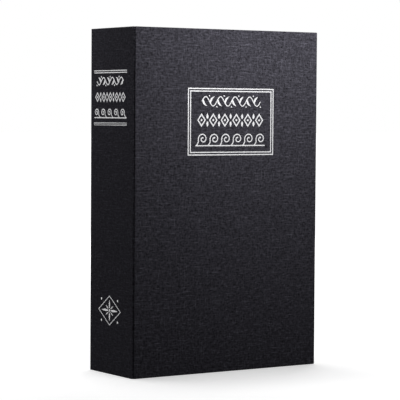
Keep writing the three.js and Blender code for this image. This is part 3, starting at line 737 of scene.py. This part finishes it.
def quarter(steps=ARC_STEPS):
    """Shares (inset, depth) of a rounded edge, from the face round to the side."""
    for step in range(1, steps + 1):
        angle = math.pi / 2 * step / steps
        yield 1 - math.sin(angle), 1 - math.cos(angle)


def add_cover_skin(name, node, endpaper_node, body, inward):
    """Cloth that wraps one board and turns in on three sides of its inner face."""
    range_x, faces, range_z = ranges(node)
    outer, inner = faces if inward == FRONT else faces[::-1]
    outer += inward * FACE_SINK
    turn_in = range_of(endpaper_node, 2)[0] - range_z[0]
    joint_turn = PASTED_JOINT_TURN if inward == FRONT else JOINT_TURN
    rings = []

    def ring(level, amount, joint_amount=None):
        limits = (inset(range_x, amount, joint_amount), inset(range_z, amount))
        rings.append(rounded_loop("y", level, *limits, max(CORNER_ROUND - amount, TIGHT_CORNER)))

    ring(outer, EDGE_ROUND)
    for share, depth in quarter():
        ring(outer + inward * depth * EDGE_ROUND, share * EDGE_ROUND)
    for share, depth in reversed(list(quarter())[:-1]):
        ring(inner - inward * depth * INNER_ROUND, share * INNER_ROUND)
    ring(inner, INNER_ROUND)
    ring(inner, turn_in, joint_turn)
    ring(inner - inward * CLOTH, turn_in, joint_turn)
    ring(inner - inward * CLOTH, CLOTH)
    ring(outer + inward * CLOTH, CLOTH)
    place_piece(lofted(name, rings), body, book_cloth, (node,))


def add_spine_skin():
    """Cloth over the spine board, carried round both corners to the joints."""
    node = "spine_cloth"
    joint_x = range_of("front_joint_cloth", 0)
    whole_y = (range_of("front_joint_cloth", 1)[0], range_of("back_joint_cloth", 1)[1])
    (outer, inner), board_y, range_z = ranges(node)
    outer += FACE_SINK
    turn_in = range_of("spine_lining", 2)[0]
    flange = joint_x[0] + JOINT_LIP
    rings = []

    def ring(level, limits_y, amount, end_amount=None):
        ends = amount if end_amount is None else end_amount
        rings.append(rounded_loop("x", level, inset(limits_y, amount), inset(range_z, ends), TIGHT_CORNER))

    whole_y = inset(whole_y, JOINT_SET_BACK)
    ring(outer, whole_y, SPINE_CORNER[1], EDGE_ROUND)
    for share, depth in quarter(SPINE_ARC_STEPS):
        ring(outer + depth * SPINE_CORNER[0], whole_y, share * SPINE_CORNER[1], share * EDGE_ROUND)
    ring(flange, whole_y, TIGHT_CORNER, 0)
    ring(flange, board_y, 0)
    ring(inner - INNER_ROUND, board_y, 0)
    for share, depth in reversed(list(quarter())[:-1]):
        ring(inner - depth * INNER_ROUND, board_y, share * INNER_ROUND)
    ring(inner, board_y, INNER_ROUND)
    ring(inner, board_y, JOINT_TURN, turn_in)
    ring(inner - CLOTH, board_y, JOINT_TURN, turn_in)
    ring(inner - CLOTH, board_y, CLOTH)
    ring(outer + CLOTH, board_y, CLOTH)
    place_piece(lofted("spine_skin", rings), "case", book_cloth, (node,))


def joint_section(start, end, face, inward, count=14):
    """The closed outline of a sunk strip of cloth between two points along X."""
    outer_side = []
    inner_side = []
    for index in range(count + 1):
        share = index / count
        x = start + (end - start) * share
        sink = JOINT_SET_BACK + JOINT_TUCK + JOINT_DEPTH * math.sin(math.pi * share) ** JOINT_FULLNESS
        outer_side.append((x, face + inward * sink))
        inner_side.append((x, face + inward * (sink + JOINT_CLOTH)))
    return outer_side + inner_side[::-1]


def add_joint(name, node, cover_node, inward):
    """The narrow groove of cloth between the spine's corner and a cover."""
    range_x, faces, range_z = ranges(node)
    start = range_x[0] + JOINT_LIP - JOINT_TUCK
    end = range_of(cover_node, 0)[0] + JOINT_TUCK
    face = faces[0] if inward == FRONT else faces[1]
    section = joint_section(start, end, face, inward)
    rings = [[(x, y, z) for x, y in section] for z in range_z]
    bm = bmesh.new()
    loft(bm, rings)
    joint = add_mesh(name, bm, sharp_degrees=50)
    joint.data.materials.append(book_cloth)
    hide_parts(node)
    if inward == FRONT:
        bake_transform(joint)
    else:
        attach(joint, "case")


def add_soft_block(name, node, body, material, rounding):
    """A board or sheet from its CAD box, drawn in at its sides and with softened edges."""
    thin_axis = "x" if node.startswith("spine") else "y"
    thin, wide = (0, 1) if thin_axis == "x" else (1, 0)
    limits_a = inset(range_of(node, wide), SIDE_SHRINK)
    limits_b = range_of(node, 2)
    low, high = range_of(node, thin)
    rings = []
    steps = [(rounding * share, rounding * depth) for share, depth in quarter(2)]
    rings.append((low, rounding))
    rings += [(low + depth, share) for share, depth in steps]
    rings += [(high - depth, share) for share, depth in reversed(steps)]
    rings.append((high, rounding))
    loops = [
        rounded_loop(thin_axis, level, inset(limits_a, amount), inset(limits_b, amount), rounding)
        for level, amount in rings
    ]
    place_piece(lofted(name, loops), body, material, (node,))


def add_paste_down():
    """The front endpaper: it laps over the turned-in cloth and dips inside it."""
    node = "front_endpaper"
    cover_x, cover_y, cover_z = ranges("front_cover_cloth")
    level = cover_y[1] + PASTE_LIFT
    turn_in = range_of(node, 2)[0] - cover_z[0]
    profile = [(PASTE_MARGIN, PASTE_JOINT_START, 0)]
    for past, share in PASTE_DIPS:
        joint_amount = PASTE_JOINT_START + len(profile) * PASTE_JOINT_STEP
        profile.append((turn_in + past, joint_amount, share * PASTE_DIP))
    rings = []
    for lift, points in ((0, profile[::-1]), (PASTE_SHEET, profile)):
        for amount, joint_amount, dip in points:
            limits = (inset(cover_x, amount, joint_amount), inset(cover_z, amount))
            rings.append(rounded_loop("y", level - dip + lift, *limits, PASTE_CORNER))
    sheet = lofted("front_paste_down", rings, sharp_degrees=60)
    place_piece(sheet, "front_cover", endpaper, (node,))


def add_case():
    add_cover_skin("front_cover_skin", "front_cover_cloth", "front_endpaper", "front_cover", FRONT)
    add_cover_skin("back_cover_skin", "back_cover_cloth", "back_endpaper", "case", BACK)
    add_spine_skin()
    add_joint("front_joint_skin", "front_joint_cloth", "front_cover_cloth", FRONT)
    add_joint("back_joint_skin", "back_joint_cloth", "back_cover_cloth", BACK)
    for node, body in (("front_board", "front_cover"), ("back_board", "case"), ("spine_board", "case")):
        add_soft_block(node + "_core", node, body, grey_board, BOARD_ROUND)
    for node in ("back_endpaper", "spine_lining"):
        add_soft_block(node + "_sheet", node, "case", endpaper, SHEET_ROUND)
    add_paste_down()


# The moulded frame with its page lines

def page_profile(range_y):
    """Inset and level of each point along the outer wall, groove by groove."""
    low, high = range_y
    count = round((high - low) / PAGE_PITCH) - 1
    pitch = (high - low) / (count + 1)
    mouth, floor = (share * pitch for share in PAGE_GROOVE_HALF)
    points = [(amount, low + along) for amount, along in PAGE_FRONT_EDGE]
    for index in range(1, count + 1):
        middle = low + pitch * (index + random.uniform(-PAGE_WANDER, PAGE_WANDER))
        depth = PAGE_GROOVE * random.uniform(*PAGE_DEPTH_SHARE)
        rise = PAGE_RISE * random.random()
        points.append((rise, middle - mouth))
        points.append((depth, middle - floor))
        points.append((depth, middle + floor))
        points.append((rise, middle + mouth))
    return points + [(amount, high + along) for amount, along in PAGE_BACK_EDGE]


def add_page_block():
    node = "page_frame"
    range_x, range_y, range_z = ranges(node)
    front, back = range_y
    bezel = range_of("steel_box", 0)[0] + STEEL_WALL - range_x[0]
    skirt_end = range_of("steel_box", 1)[0] - SKIRT_GAP
    outline = [(amount, level, PAGE_CORNER) for amount, level in page_profile(range_y)]
    outline += [
        (FRAME_WALL, back, FRAME_CORNER),
        (FRAME_WALL, front + BEZEL_DEPTH, FRAME_CORNER),
        (bezel - SKIRT, front + BEZEL_DEPTH, FRAME_CORNER),
        (bezel - SKIRT, skirt_end, FRAME_CORNER),
        (bezel, skirt_end, WINDOW_CORNERS[0]),
        (bezel, front + BEZEL_ROUND, WINDOW_CORNERS[0]),
        (bezel - 0.3 * BEZEL_ROUND, front + 0.3 * BEZEL_ROUND, WINDOW_CORNERS[1]),
        (bezel - BEZEL_ROUND, front, WINDOW_CORNERS[2]),
    ]
    rings = [
        rounded_loop("y", level, inset(range_x, amount), inset(range_z, amount), radius)
        for amount, level, radius in outline
    ]
    block = lofted("page_block", rings, sharp_degrees=30, wrap=True)
    place_piece(block, "case", page_plastic, (node,))


# Foil work, drawn flat and laid on a face

class FoilSheet:
    """Flat shapes on one face of the case, merged into one thin closed sheet.

    Flat points are (across, up).
    """

    def __init__(self, name, body, face):
        self.name = name
        self.body = body
        self.face = face
        self.corners = []
        self.areas = []

    def point(self, across, up, height):
        if self.face == "front":
            y = range_of("front_cover_cloth", 1)[0] + FACE_SINK
            return (across, y - height, up)
        x = range_of("spine_cloth", 0)[0] + FACE_SINK
        return (x - height, across, up)

    def shape(self, outline):
        """A flat shape inside one closed outline."""
        following = outline[1:] + outline[:1]
        turn = sum(a[0] * b[1] - b[0] * a[1] for a, b in zip(outline, following))
        first = len(self.corners)
        self.corners += [Vector(place) / MM for place in (outline if turn > 0 else outline[::-1])]
        self.areas.append(list(range(first, first + len(outline))))

    def band(self, outer, inner):
        """A flat closed band between two outlines with as many points."""
        for index in range(len(outer)):
            beside = (index + 1) % len(outer)
            self.shape([outer[index], outer[beside], inner[beside], inner[index]])

    def bar(self, limits_a, limits_b):
        self.shape(rectangle(limits_a, limits_b))

    def box_line(self, limits_a, limits_b, width):
        """A rectangular line whose outer edge is given."""
        inner = rectangle(inset(limits_a, width), inset(limits_b, width))
        self.band(rectangle(limits_a, limits_b), inner)

    def dot(self, across, up, radius, sides=14):
        turns = [2 * math.pi * side / sides for side in range(sides)]
        self.shape([(across + radius * math.cos(t), up + radius * math.sin(t)) for t in turns])

    def leaf(self, start, end, width, bend=0.0, steps=8):
        """A pointed leaf between two points, bowed sideways by a share of its length."""
        start, end = Vector(start), Vector(end)
        run = end - start
        side = Vector((-run.y, run.x))
        left, right = [], []
        for step in range(1, steps):
            share = step / steps
            middle = start + run * share + side * bend * math.sin(math.pi * share)
            half = side.normalized() * width / 2 * math.sin(math.pi * share ** LEAF_FULLNESS)
            left.append(tuple(middle + half))
            right.append(tuple(middle - half))
        self.shape([tuple(start)] + left + [tuple(end)] + right[::-1])

    def stroke(self, points, width):
        """A line of even width along a run of points."""
        left, right = [], []
        for index, here in enumerate(points):
            before = Vector(points[max(index - 1, 0)])
            after = Vector(points[min(index + 1, len(points) - 1)])
            run = (after - before).normalized()
            side = Vector((-run.y, run.x)) * width / 2
            left.append(tuple(Vector(here) + side))
            right.append(tuple(Vector(here) - side))
        for index in range(len(points) - 1):
            self.shape([left[index], left[index + 1], right[index + 1], right[index]])

    def finish(self):
        """Builds the sheet: a top, a bottom, and walls along the merged outline."""
        merged = delaunay_2d_cdt(self.corners, [], self.areas, 0, MERGE_DISTANCE)
        corners, faces, sources = merged[0], merged[2], merged[5]
        kept = [face for face, source in zip(faces, sources) if source]
        bm = bmesh.new()
        low = {}
        high = {}
        for index in sorted({corner for face in kept for corner in face}):
            across, up = corners[index] * MM
            low[index] = bm.verts.new(self.point(across, up, -FOIL_FOOT))
            high[index] = bm.verts.new(self.point(across, up, FOIL))
        edges = {(a, b) for face in kept for a, b in zip(face, face[1:] + face[:1])}
        for face in kept:
            bm.faces.new([high[corner] for corner in face])
            bm.faces.new([low[corner] for corner in reversed(face)])
        for a, b in sorted(edges):
            if (b, a) not in edges:
                bm.faces.new((low[a], low[b], high[b], high[a]))
        piece = add_mesh(self.name, bm, sharp_degrees=30)
        place_piece(piece, self.body, foil)


def vine_row(sheet, limits_a, limits_b, waves, line):
    """A running vine: a waving stem with a leaf and a berry in each bend."""
    width = limits_a[1] - limits_a[0]
    height = limits_b[1] - limits_b[0]
    middle = (limits_b[0] + limits_b[1]) / 2
    length = width / waves
    steps = STEM_STEPS * waves
    stem = []
    for step in range(steps + 1):
        share = step / steps
        rise = STEM_RISE * height * math.sin(2 * math.pi * waves * share)
        stem.append((limits_a[0] + width * share, middle + rise))
    sheet.stroke(stem, line)
    for bend in range(2 * waves):
        side = 1 if bend % 2 == 0 else -1
        crest = limits_a[0] + length * (bend + 0.5) / 2
        root, tip, berry = (
            (crest + along * length, middle + side * up * height)
            for along, up in (LEAF_ROOT, LEAF_TIP, BERRY_PLACE)
        )
        sheet.leaf(root, tip, LEAF_WIDTH * line, -LEAF_BEND * side)
        sheet.dot(*berry, BERRY_RADIUS * line)


def lozenge(middle, half, amount=0.0):
    """A diamond outline drawn in by an even amount."""
    slope = math.hypot(*half)
    across = half[0] - amount * slope / half[1]
    up = half[1] - amount * slope / half[0]
    a, b = middle
    return [(a - across, b), (a, b - up), (a + across, b), (a, b + up)]


def lozenge_row(sheet, limits_a, limits_b, count, line):
    """Open lozenges with a bead inside and a pair of upright leaves between."""
    width = limits_a[1] - limits_a[0]
    half_height = (limits_b[1] - limits_b[0]) / 2
    middle = (limits_b[0] + limits_b[1]) / 2
    pitch = width / count
    half = (LOZENGE_HALF * pitch, half_height)
    for index in range(count):
        centre = (limits_a[0] + pitch * (index + 0.5), middle)
        sheet.band(lozenge(centre, half), lozenge(centre, half, line))
        sheet.dot(*centre, BEAD_RADIUS * line)
    for index in range(count - 1):
        across = limits_a[0] + pitch * (index + 1)
        for side in (-1, 1):
            root = (across, middle + side * BETWEEN_ROOT * half_height)
            sheet.leaf(root, (across, middle + side * half_height), BETWEEN_WIDTH * line)


def scroll_row(sheet, limits_a, limits_b, count, line):
    """Running scrolls: each rises from the base line and curls over to the right."""
    width = limits_a[1] - limits_a[0]
    height = limits_b[1] - limits_b[0] - line
    base = limits_b[0] + line / 2
    pitch = width / count
    sheet.bar(limits_a, (limits_b[0], limits_b[0] + line))
    outer = (height - line) / 2
    for index in range(count):
        left = limits_a[0] + pitch * index
        centre = Vector((left + SCROLL_MIDDLE * pitch, base + line + outer))
        coil = []
        for step in range(COIL_STEPS + 1):
            share = step / COIL_STEPS
            angle = math.radians(COIL_START - COIL_TURN * share)
            reach = outer * (1 - COIL_CLOSE * share)
            coil.append(tuple(centre + reach * Vector((math.cos(angle), math.sin(angle)))))
        foot = Vector((left + SCROLL_FOOT * pitch, base))
        knee = Vector((left + SCROLL_KNEE[0] * pitch, base + SCROLL_KNEE[1] * height))
        rise = [
            tuple((1 - t) ** 2 * foot + 2 * t * (1 - t) * knee + t * t * Vector(coil[0]))
            for t in (step / RISE_STEPS for step in range(RISE_STEPS))
        ]
        sheet.stroke(rise + coil, line)
        sheet.dot(*coil[-1], COIL_END * line)


def add_rows(sheet, rows):
    for draw, row in zip((vine_row, lozenge_row, scroll_row), rows):
        draw(sheet, *row)


def add_cover_foil():
    sheet = FoilSheet("cover_foil", "front_cover", "front")
    sheet.box_line(FRAME_X, FRAME_Z, FRAME_OUTER_LINE)
    sheet.box_line(inset(FRAME_X, FRAME_INNER_START), inset(FRAME_Z, FRAME_INNER_START), FRAME_INNER_LINE)
    add_rows(sheet, COVER_ROWS)
    sheet.finish()


def add_spine_foil():
    sheet = FoilSheet("spine_foil", "case", "spine")
    for limits in SPINE_RULES_Z:
        sheet.bar(SPINE_RULE_Y, limits)
    add_rows(sheet, SPINE_ROWS)
    sheet.finish()


def add_spine_emblem():
    """A star of eight leaves in a lozenge, with a dot outside each of its sides."""
    sheet = FoilSheet("spine_emblem", "case", "spine")
    a, b = EMBLEM_MIDDLE
    wide, tall = EMBLEM_HALF
    sheet.band(lozenge(EMBLEM_MIDDLE, EMBLEM_HALF), lozenge(EMBLEM_MIDDLE, EMBLEM_HALF, EMBLEM_LINE))
    for across, up in ((1, 0), (-1, 0), (0, 1), (0, -1)):
        root = (a + LONG_LEAF_ROOT * across, b + LONG_LEAF_ROOT * up)
        tip = (a + LONG_LEAF_REACH * wide * across, b + LONG_LEAF_REACH * tall * up)
        sheet.leaf(root, tip, LONG_LEAF_WIDTH)
    for across, up in ((1, 1), (-1, 1), (1, -1), (-1, -1)):
        root = (a + SHORT_LEAF_ROOT[0] * across, b + SHORT_LEAF_ROOT[1] * up)
        tip = (a + SHORT_LEAF_REACH * wide * across, b + SHORT_LEAF_REACH * tall * up)
        sheet.leaf(root, tip, SHORT_LEAF_WIDTH)
        sheet.dot(a + OUTER_DOT_REACH * wide * across, b + OUTER_DOT_REACH * tall * up, OUTER_DOT)
    sheet.dot(a, b, MIDDLE_DOT)
    sheet.finish()


# CAD pieces that keep their shape

def soften_normals():
    """A node group that drops stored normals and shades smooth but for sharp edges."""
    group = bpy.data.node_groups.new("soften_normals", "GeometryNodeTree")
    for way in ("INPUT", "OUTPUT"):
        group.interface.new_socket("Geometry", in_out=way, socket_type="NodeSocketGeometry")
    net = NodeNet(group)
    start = net.add("NodeGroupInput").outputs[0]
    bare = net.add("GeometryNodeRemoveAttribute", Geometry=start, Name="custom_normal").outputs[0]
    smooth = net.add("GeometryNodeSetShadeSmooth", Geometry=bare, Shade_Smooth=True)
    smooth.domain = "FACE"
    angle = net.add("GeometryNodeInputMeshEdgeAngle").outputs["Unsigned Angle"]
    sharp = net.add("FunctionNodeCompare", A=angle, B=SHARP_EDGE)
    sharp.operation = "GREATER_THAN"
    crisp = net.add("GeometryNodeSetShadeSmooth", Geometry=smooth.outputs[0], Shade_Smooth=False)
    crisp.domain = "EDGE"
    net.wire(crisp, Selection=sharp.outputs["Result"])
    net.add("NodeGroupOutput", Geometry=crisp.outputs[0])
    return group


soften = soften_normals()

# Nodes that keep their mesh: finish, round of the edges in mm, and steps in that round
DRESSED_NODES = (
    ("steel_box", black_steel, 0.25, 2),
    ("felt_liner", black_felt, 0.3, 3),
    ("door_panel", black_steel, 0.3, 3),
    ("hinge_frame_leaf", black_steel, 0.12, 2),
    ("hinge_door_leaf", black_steel, 0.12, 2),
    ("hinge_pin", bright_steel, 0.15, 2),
    ("lock_housing", satin_chrome, 0.25, 3),
    ("lock_back_plate", bright_steel, 0.1, 2),
    ("detent_spring", brass, 0.06, 2),
    ("latch_bolt", bright_steel, 0.2, 2),
    ("dial_shaft", bright_steel, 0.1, 2),
    ("reset_lever", wheel_plastic, 0.2, 2),
    ("wheel_sleeve_1", brass, 0.1, 2),
    ("wheel_sleeve_2", brass, 0.1, 2),
    ("wheel_sleeve_3", brass, 0.1, 2),
)


def dress(node, material, rounding, segments):
    """A CAD node keeps its mesh and gets softened edges and a finish."""
    piece = cad[node]
    for spot in piece.material_slots:
        spot.material = material
    weld = piece.modifiers.new("weld", "WELD")
    weld.merge_threshold = WELD_DISTANCE
    flat = piece.modifiers.new("flat faces", "DECIMATE")
    flat.decimate_type = "DISSOLVE"
    flat.angle_limit = FLAT_ANGLE
    shade = piece.modifiers.new("shade", "NODES")
    shade.node_group = soften
    bevel = piece.modifiers.new("edges", "BEVEL")
    bevel.limit_method = "ANGLE"
    bevel.angle_limit = SHARP_EDGE
    bevel.width = rounding
    bevel.segments = segments
    bevel.harden_normals = True


def dress_cad_nodes():
    for node, material, rounding, segments in DRESSED_NODES:
        dress(node, material, rounding * MM, segments)


# Turned fasteners

def fastener_profile(node, head_first, head_radius, head_height, shank_radius, tail):
    """(level, radius) pairs along +Y, from the node's lowest Y to its highest."""
    low, high = range_of(node, 1)
    length = high - low
    profile = []
    for step in range(HEAD_STEPS + 1):
        angle = math.pi / 2 * step / HEAD_STEPS
        profile.append((head_height * (1 - math.cos(angle)), head_radius * math.sin(angle) ** HEAD_FULLNESS))
    profile.append((head_height + SHANK_START, shank_radius))
    if tail:
        profile.append((length - tail, shank_radius))
        for share, radius_share in RIVET_TAIL:
            profile.append((length - share * tail, radius_share * head_radius))
    else:
        profile.append((length - SHANK_CHAMFER, shank_radius))
        profile.append((length, shank_radius - SHANK_CHAMFER))
    profile.append((length, 0))
    if head_first:
        return [(low + distance, radius) for distance, radius in profile]
    return [(high - distance, radius) for distance, radius in profile][::-1]


def add_fastener(node, body, head_first, head_height, shank_radius, tail=0.0, slot_width=0.0):
    low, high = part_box(node)
    middle = (low + high) / 2
    head_radius = (high.x - low.x) / 2
    profile = fastener_profile(node, head_first, head_radius, head_height, shank_radius, tail)
    bm = bmesh.new()
    turned(bm, "y", (middle.x, 0, middle.z), profile, FASTENER_SIDES)
    piece = add_mesh(node + "_turned", bm, FASTENER_SHARP_DEGREES)
    if slot_width:
        face = low.y if head_first else high.y
        depth = SLOT_DEPTH_SHARE * head_height
        wide = (middle.x - 2 * head_radius, middle.x + 2 * head_radius)
        tall = (middle.z - slot_width / 2, middle.z + slot_width / 2)
        cutter = bmesh.new()
        slab(cutter, rectangle(wide, tall), (face - depth, face + depth))
        carve(piece, cutter)
        piece.data.set_sharp_from_angle(angle=math.radians(FASTENER_SHARP_DEGREES))
    place_piece(piece, body, bright_steel, (node,))


def add_fasteners():
    for index in (1, 2, 3):
        add_fastener(f"frame_rivet_{index}", "case", True, 0.8 * MM, 1.2 * MM, tail=0.6 * MM)
        add_fastener(f"door_rivet_{index}", "door", True, 0.8 * MM, 1.2 * MM, tail=0.6 * MM)
    for index in (1, 2, 3, 4):
        add_fastener(f"box_screw_{index}", "case", True, 1.0 * MM, 1.4 * MM, slot_width=0.8 * MM)
    for index in (1, 2):
        add_fastener(f"plate_screw_{index}", "door", False, 0.8 * MM, 0.9 * MM, slot_width=0.5 * MM)
        add_fastener(f"lock_screw_{index}", "door", False, 1.1 * MM, 1.0 * MM, slot_width=0.5 * MM)


# Number wheels and knob

def wheel_ring(x, axis_y, axis_z, radius, teeth_depth):
    """Points round a wheel, waved in and out where the grip is."""
    total = GRIP_TEETH * POINTS_PER_TOOTH
    ring = []
    for index in range(total):
        angle = 2 * math.pi * index / total
        wave = 0.5 - 0.5 * math.cos(GRIP_TEETH * angle)
        reach = radius - teeth_depth * wave ** TOOTH_SHARPNESS
        ring.append((x, axis_y - reach * math.cos(angle), axis_z + reach * math.sin(angle)))
    return ring


def add_wheel_body(index, node):
    low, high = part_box(node)
    axis_y, axis_z = (low.y + high.y) / 2, (low.z + high.z) / 2
    radius = (high.z - low.z) / 2
    band = radius - GRIP_DEPTH / 2
    grip_start = high.x - GRIP_WIDTH
    bore = WHEEL_BORE + WHEEL_CHAMFER
    rows = [
        (low.x, band - BAND_ROUND, 0),
        (low.x + 0.3 * BAND_ROUND, band - 0.3 * BAND_ROUND, 0),
        (low.x + BAND_ROUND, band, 0),
        (grip_start - WHEEL_CHAMFER, band, 0),
        (grip_start, band - BAND_ROUND, 0),
        (grip_start + 0.1 * BAND_ROUND, radius - GRIP_CHAMFER, GRIP_DEPTH),
        (grip_start + GRIP_CHAMFER, radius, GRIP_DEPTH),
        (high.x - GRIP_CHAMFER, radius, GRIP_DEPTH),
        (high.x, radius - GRIP_CHAMFER, GRIP_DEPTH),
        (high.x, bore, 0),
        (high.x - WHEEL_CHAMFER, WHEEL_BORE, 0),
        (low.x + WHEEL_CHAMFER, WHEEL_BORE, 0),
        (low.x, bore, 0),
    ]
    rings = [wheel_ring(x, axis_y, axis_z, reach, depth) for x, reach, depth in rows]
    body = lofted(f"number_wheel_{index}_body", rings, sharp_degrees=35, wrap=True)
    place_piece(body, f"wheel_{index}", wheel_plastic, (node,))
    return (low.x + grip_start) / 2, axis_y, axis_z, band


def numeral_shape(text):
    """A flat mesh of one numeral, centred on the origin."""
    curve = bpy.data.curves.new("numeral", "FONT")
    curve.body = text
    curve.size = NUMERAL_SIZE
    curve.align_x = "CENTER"
    curve.align_y = "CENTER"
    curve.resolution_u = 4
    letter = add_object("numeral", curve)
    mesh = evaluated_mesh(letter)
    bpy.data.objects.remove(letter)
    return mesh


def add_numerals(index, x, axis_y, axis_z, band, shapes):
    """Ten numerals wrapped round the smooth band of a wheel."""
    bm = bmesh.new()
    for number, shape in enumerate(shapes):
        glyph = bmesh.new()
        glyph.from_mesh(shape)
        bmesh.ops.remove_doubles(glyph, verts=glyph.verts, dist=WELD_DISTANCE)
        for cut in range(-NUMERAL_CUTS, NUMERAL_CUTS + 1):
            everything = glyph.verts[:] + glyph.edges[:] + glyph.faces[:]
            height = cut * NUMERAL_CUT_PITCH
            bmesh.ops.bisect_plane(glyph, geom=everything, plane_co=(0, height, 0), plane_no=(0, 1, 0))
        lifted = bmesh.ops.extrude_face_region(glyph, geom=glyph.faces[:])
        for vert in (item for item in lifted["geom"] if isinstance(item, bmesh.types.BMVert)):
            vert.co.z += NUMERAL_HEIGHT
        for vert in glyph.verts:
            across, up, height = vert.co
            angle = up / band + 2 * math.pi * number / len(shapes)
            reach = band - NUMERAL_SINK + height
            vert.co = (x + across, axis_y - reach * math.cos(angle), axis_z + reach * math.sin(angle))
        part = bpy.data.meshes.new("numeral_part")
        glyph.to_mesh(part)
        glyph.free()
        bm.from_mesh(part)
        bpy.data.meshes.remove(part)
    piece = add_mesh(f"numerals_{index}", bm, sharp_degrees=30)
    place_piece(piece, f"wheel_{index}", white_paint)


def add_wheels():
    shapes = [numeral_shape(str(number)) for number in range(10)]
    for index in (1, 2, 3):
        centre = add_wheel_body(index, f"number_wheel_{index}")
        add_numerals(index, *centre, shapes)


def add_knob():
    """The slide knob: a plate whose face rises in soft ridges across its length."""
    node = "slide_knob"
    low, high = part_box(node)
    steps = KNOB_RIDGES * POINTS_PER_RIDGE
    soft = KNOB_ROUND
    rows = []
    for step in range(steps + 1):
        share = step / steps
        x = low.x + (high.x - low.x) * share
        edge = min(x - low.x, high.x - x)
        phase = (x - low.x - KNOB_MARGIN) / (high.x - low.x - 2 * KNOB_MARGIN)
        ridge = 0.5 - 0.5 * math.cos(2 * math.pi * KNOB_RIDGES * min(max(phase, 0), 1))
        face = low.y + KNOB_RIDGE_DEPTH * (1 - ridge)
        draw_in = KNOB_CORNER - math.sqrt(max(KNOB_CORNER ** 2 - max(KNOB_CORNER - edge, 0) ** 2, 0))
        half = ((high.y, 0), (face + soft, 0), (face + 0.3 * soft, 0.3 * soft), (face, soft))
        lower = [(x, y, low.z + draw_in + up) for y, up in half]
        upper = [(x, y, high.z - draw_in - up) for y, up in half[::-1]]
        rows.append(lower + upper)
    bm = bmesh.new()
    loft(bm, rows)
    knob = add_mesh("slide_knob_grip", bm, sharp_degrees=40)
    place_piece(knob, "latch", satin_chrome, (node,))


def add_index_marks():
    """Painted lines beside the wheels, level with the number that counts."""
    low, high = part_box("lock_housing")
    middle = (low.z + high.z) / 2
    tall = (middle - MARK_HALF, middle + MARK_HALF)
    first = range_of("number_wheel_1", 0)[0]
    last = range_of("number_wheel_3", 0)[1]
    bm = bmesh.new()
    for wide in ((first - FIRST_MARK_END, first - MARK_GAP), (last + MARK_GAP, last + LAST_MARK_END)):
        slab(bm, rectangle(wide, tall), (low.y + MARK_SINK, low.y - MARK_PROUD))
    piece = add_mesh("index_marks", bm, sharp_degrees=30)
    place_piece(piece, "door", black_steel)


add_camera()
add_world()
add_lamps()
add_floor()
add_case()
add_page_block()
add_cover_foil()
add_spine_foil()
add_spine_emblem()
dress_cad_nodes()
add_fasteners()
add_wheels()
add_knob()
add_index_marks()

bpy.context.scene.view_settings.view_transform = "Standard"
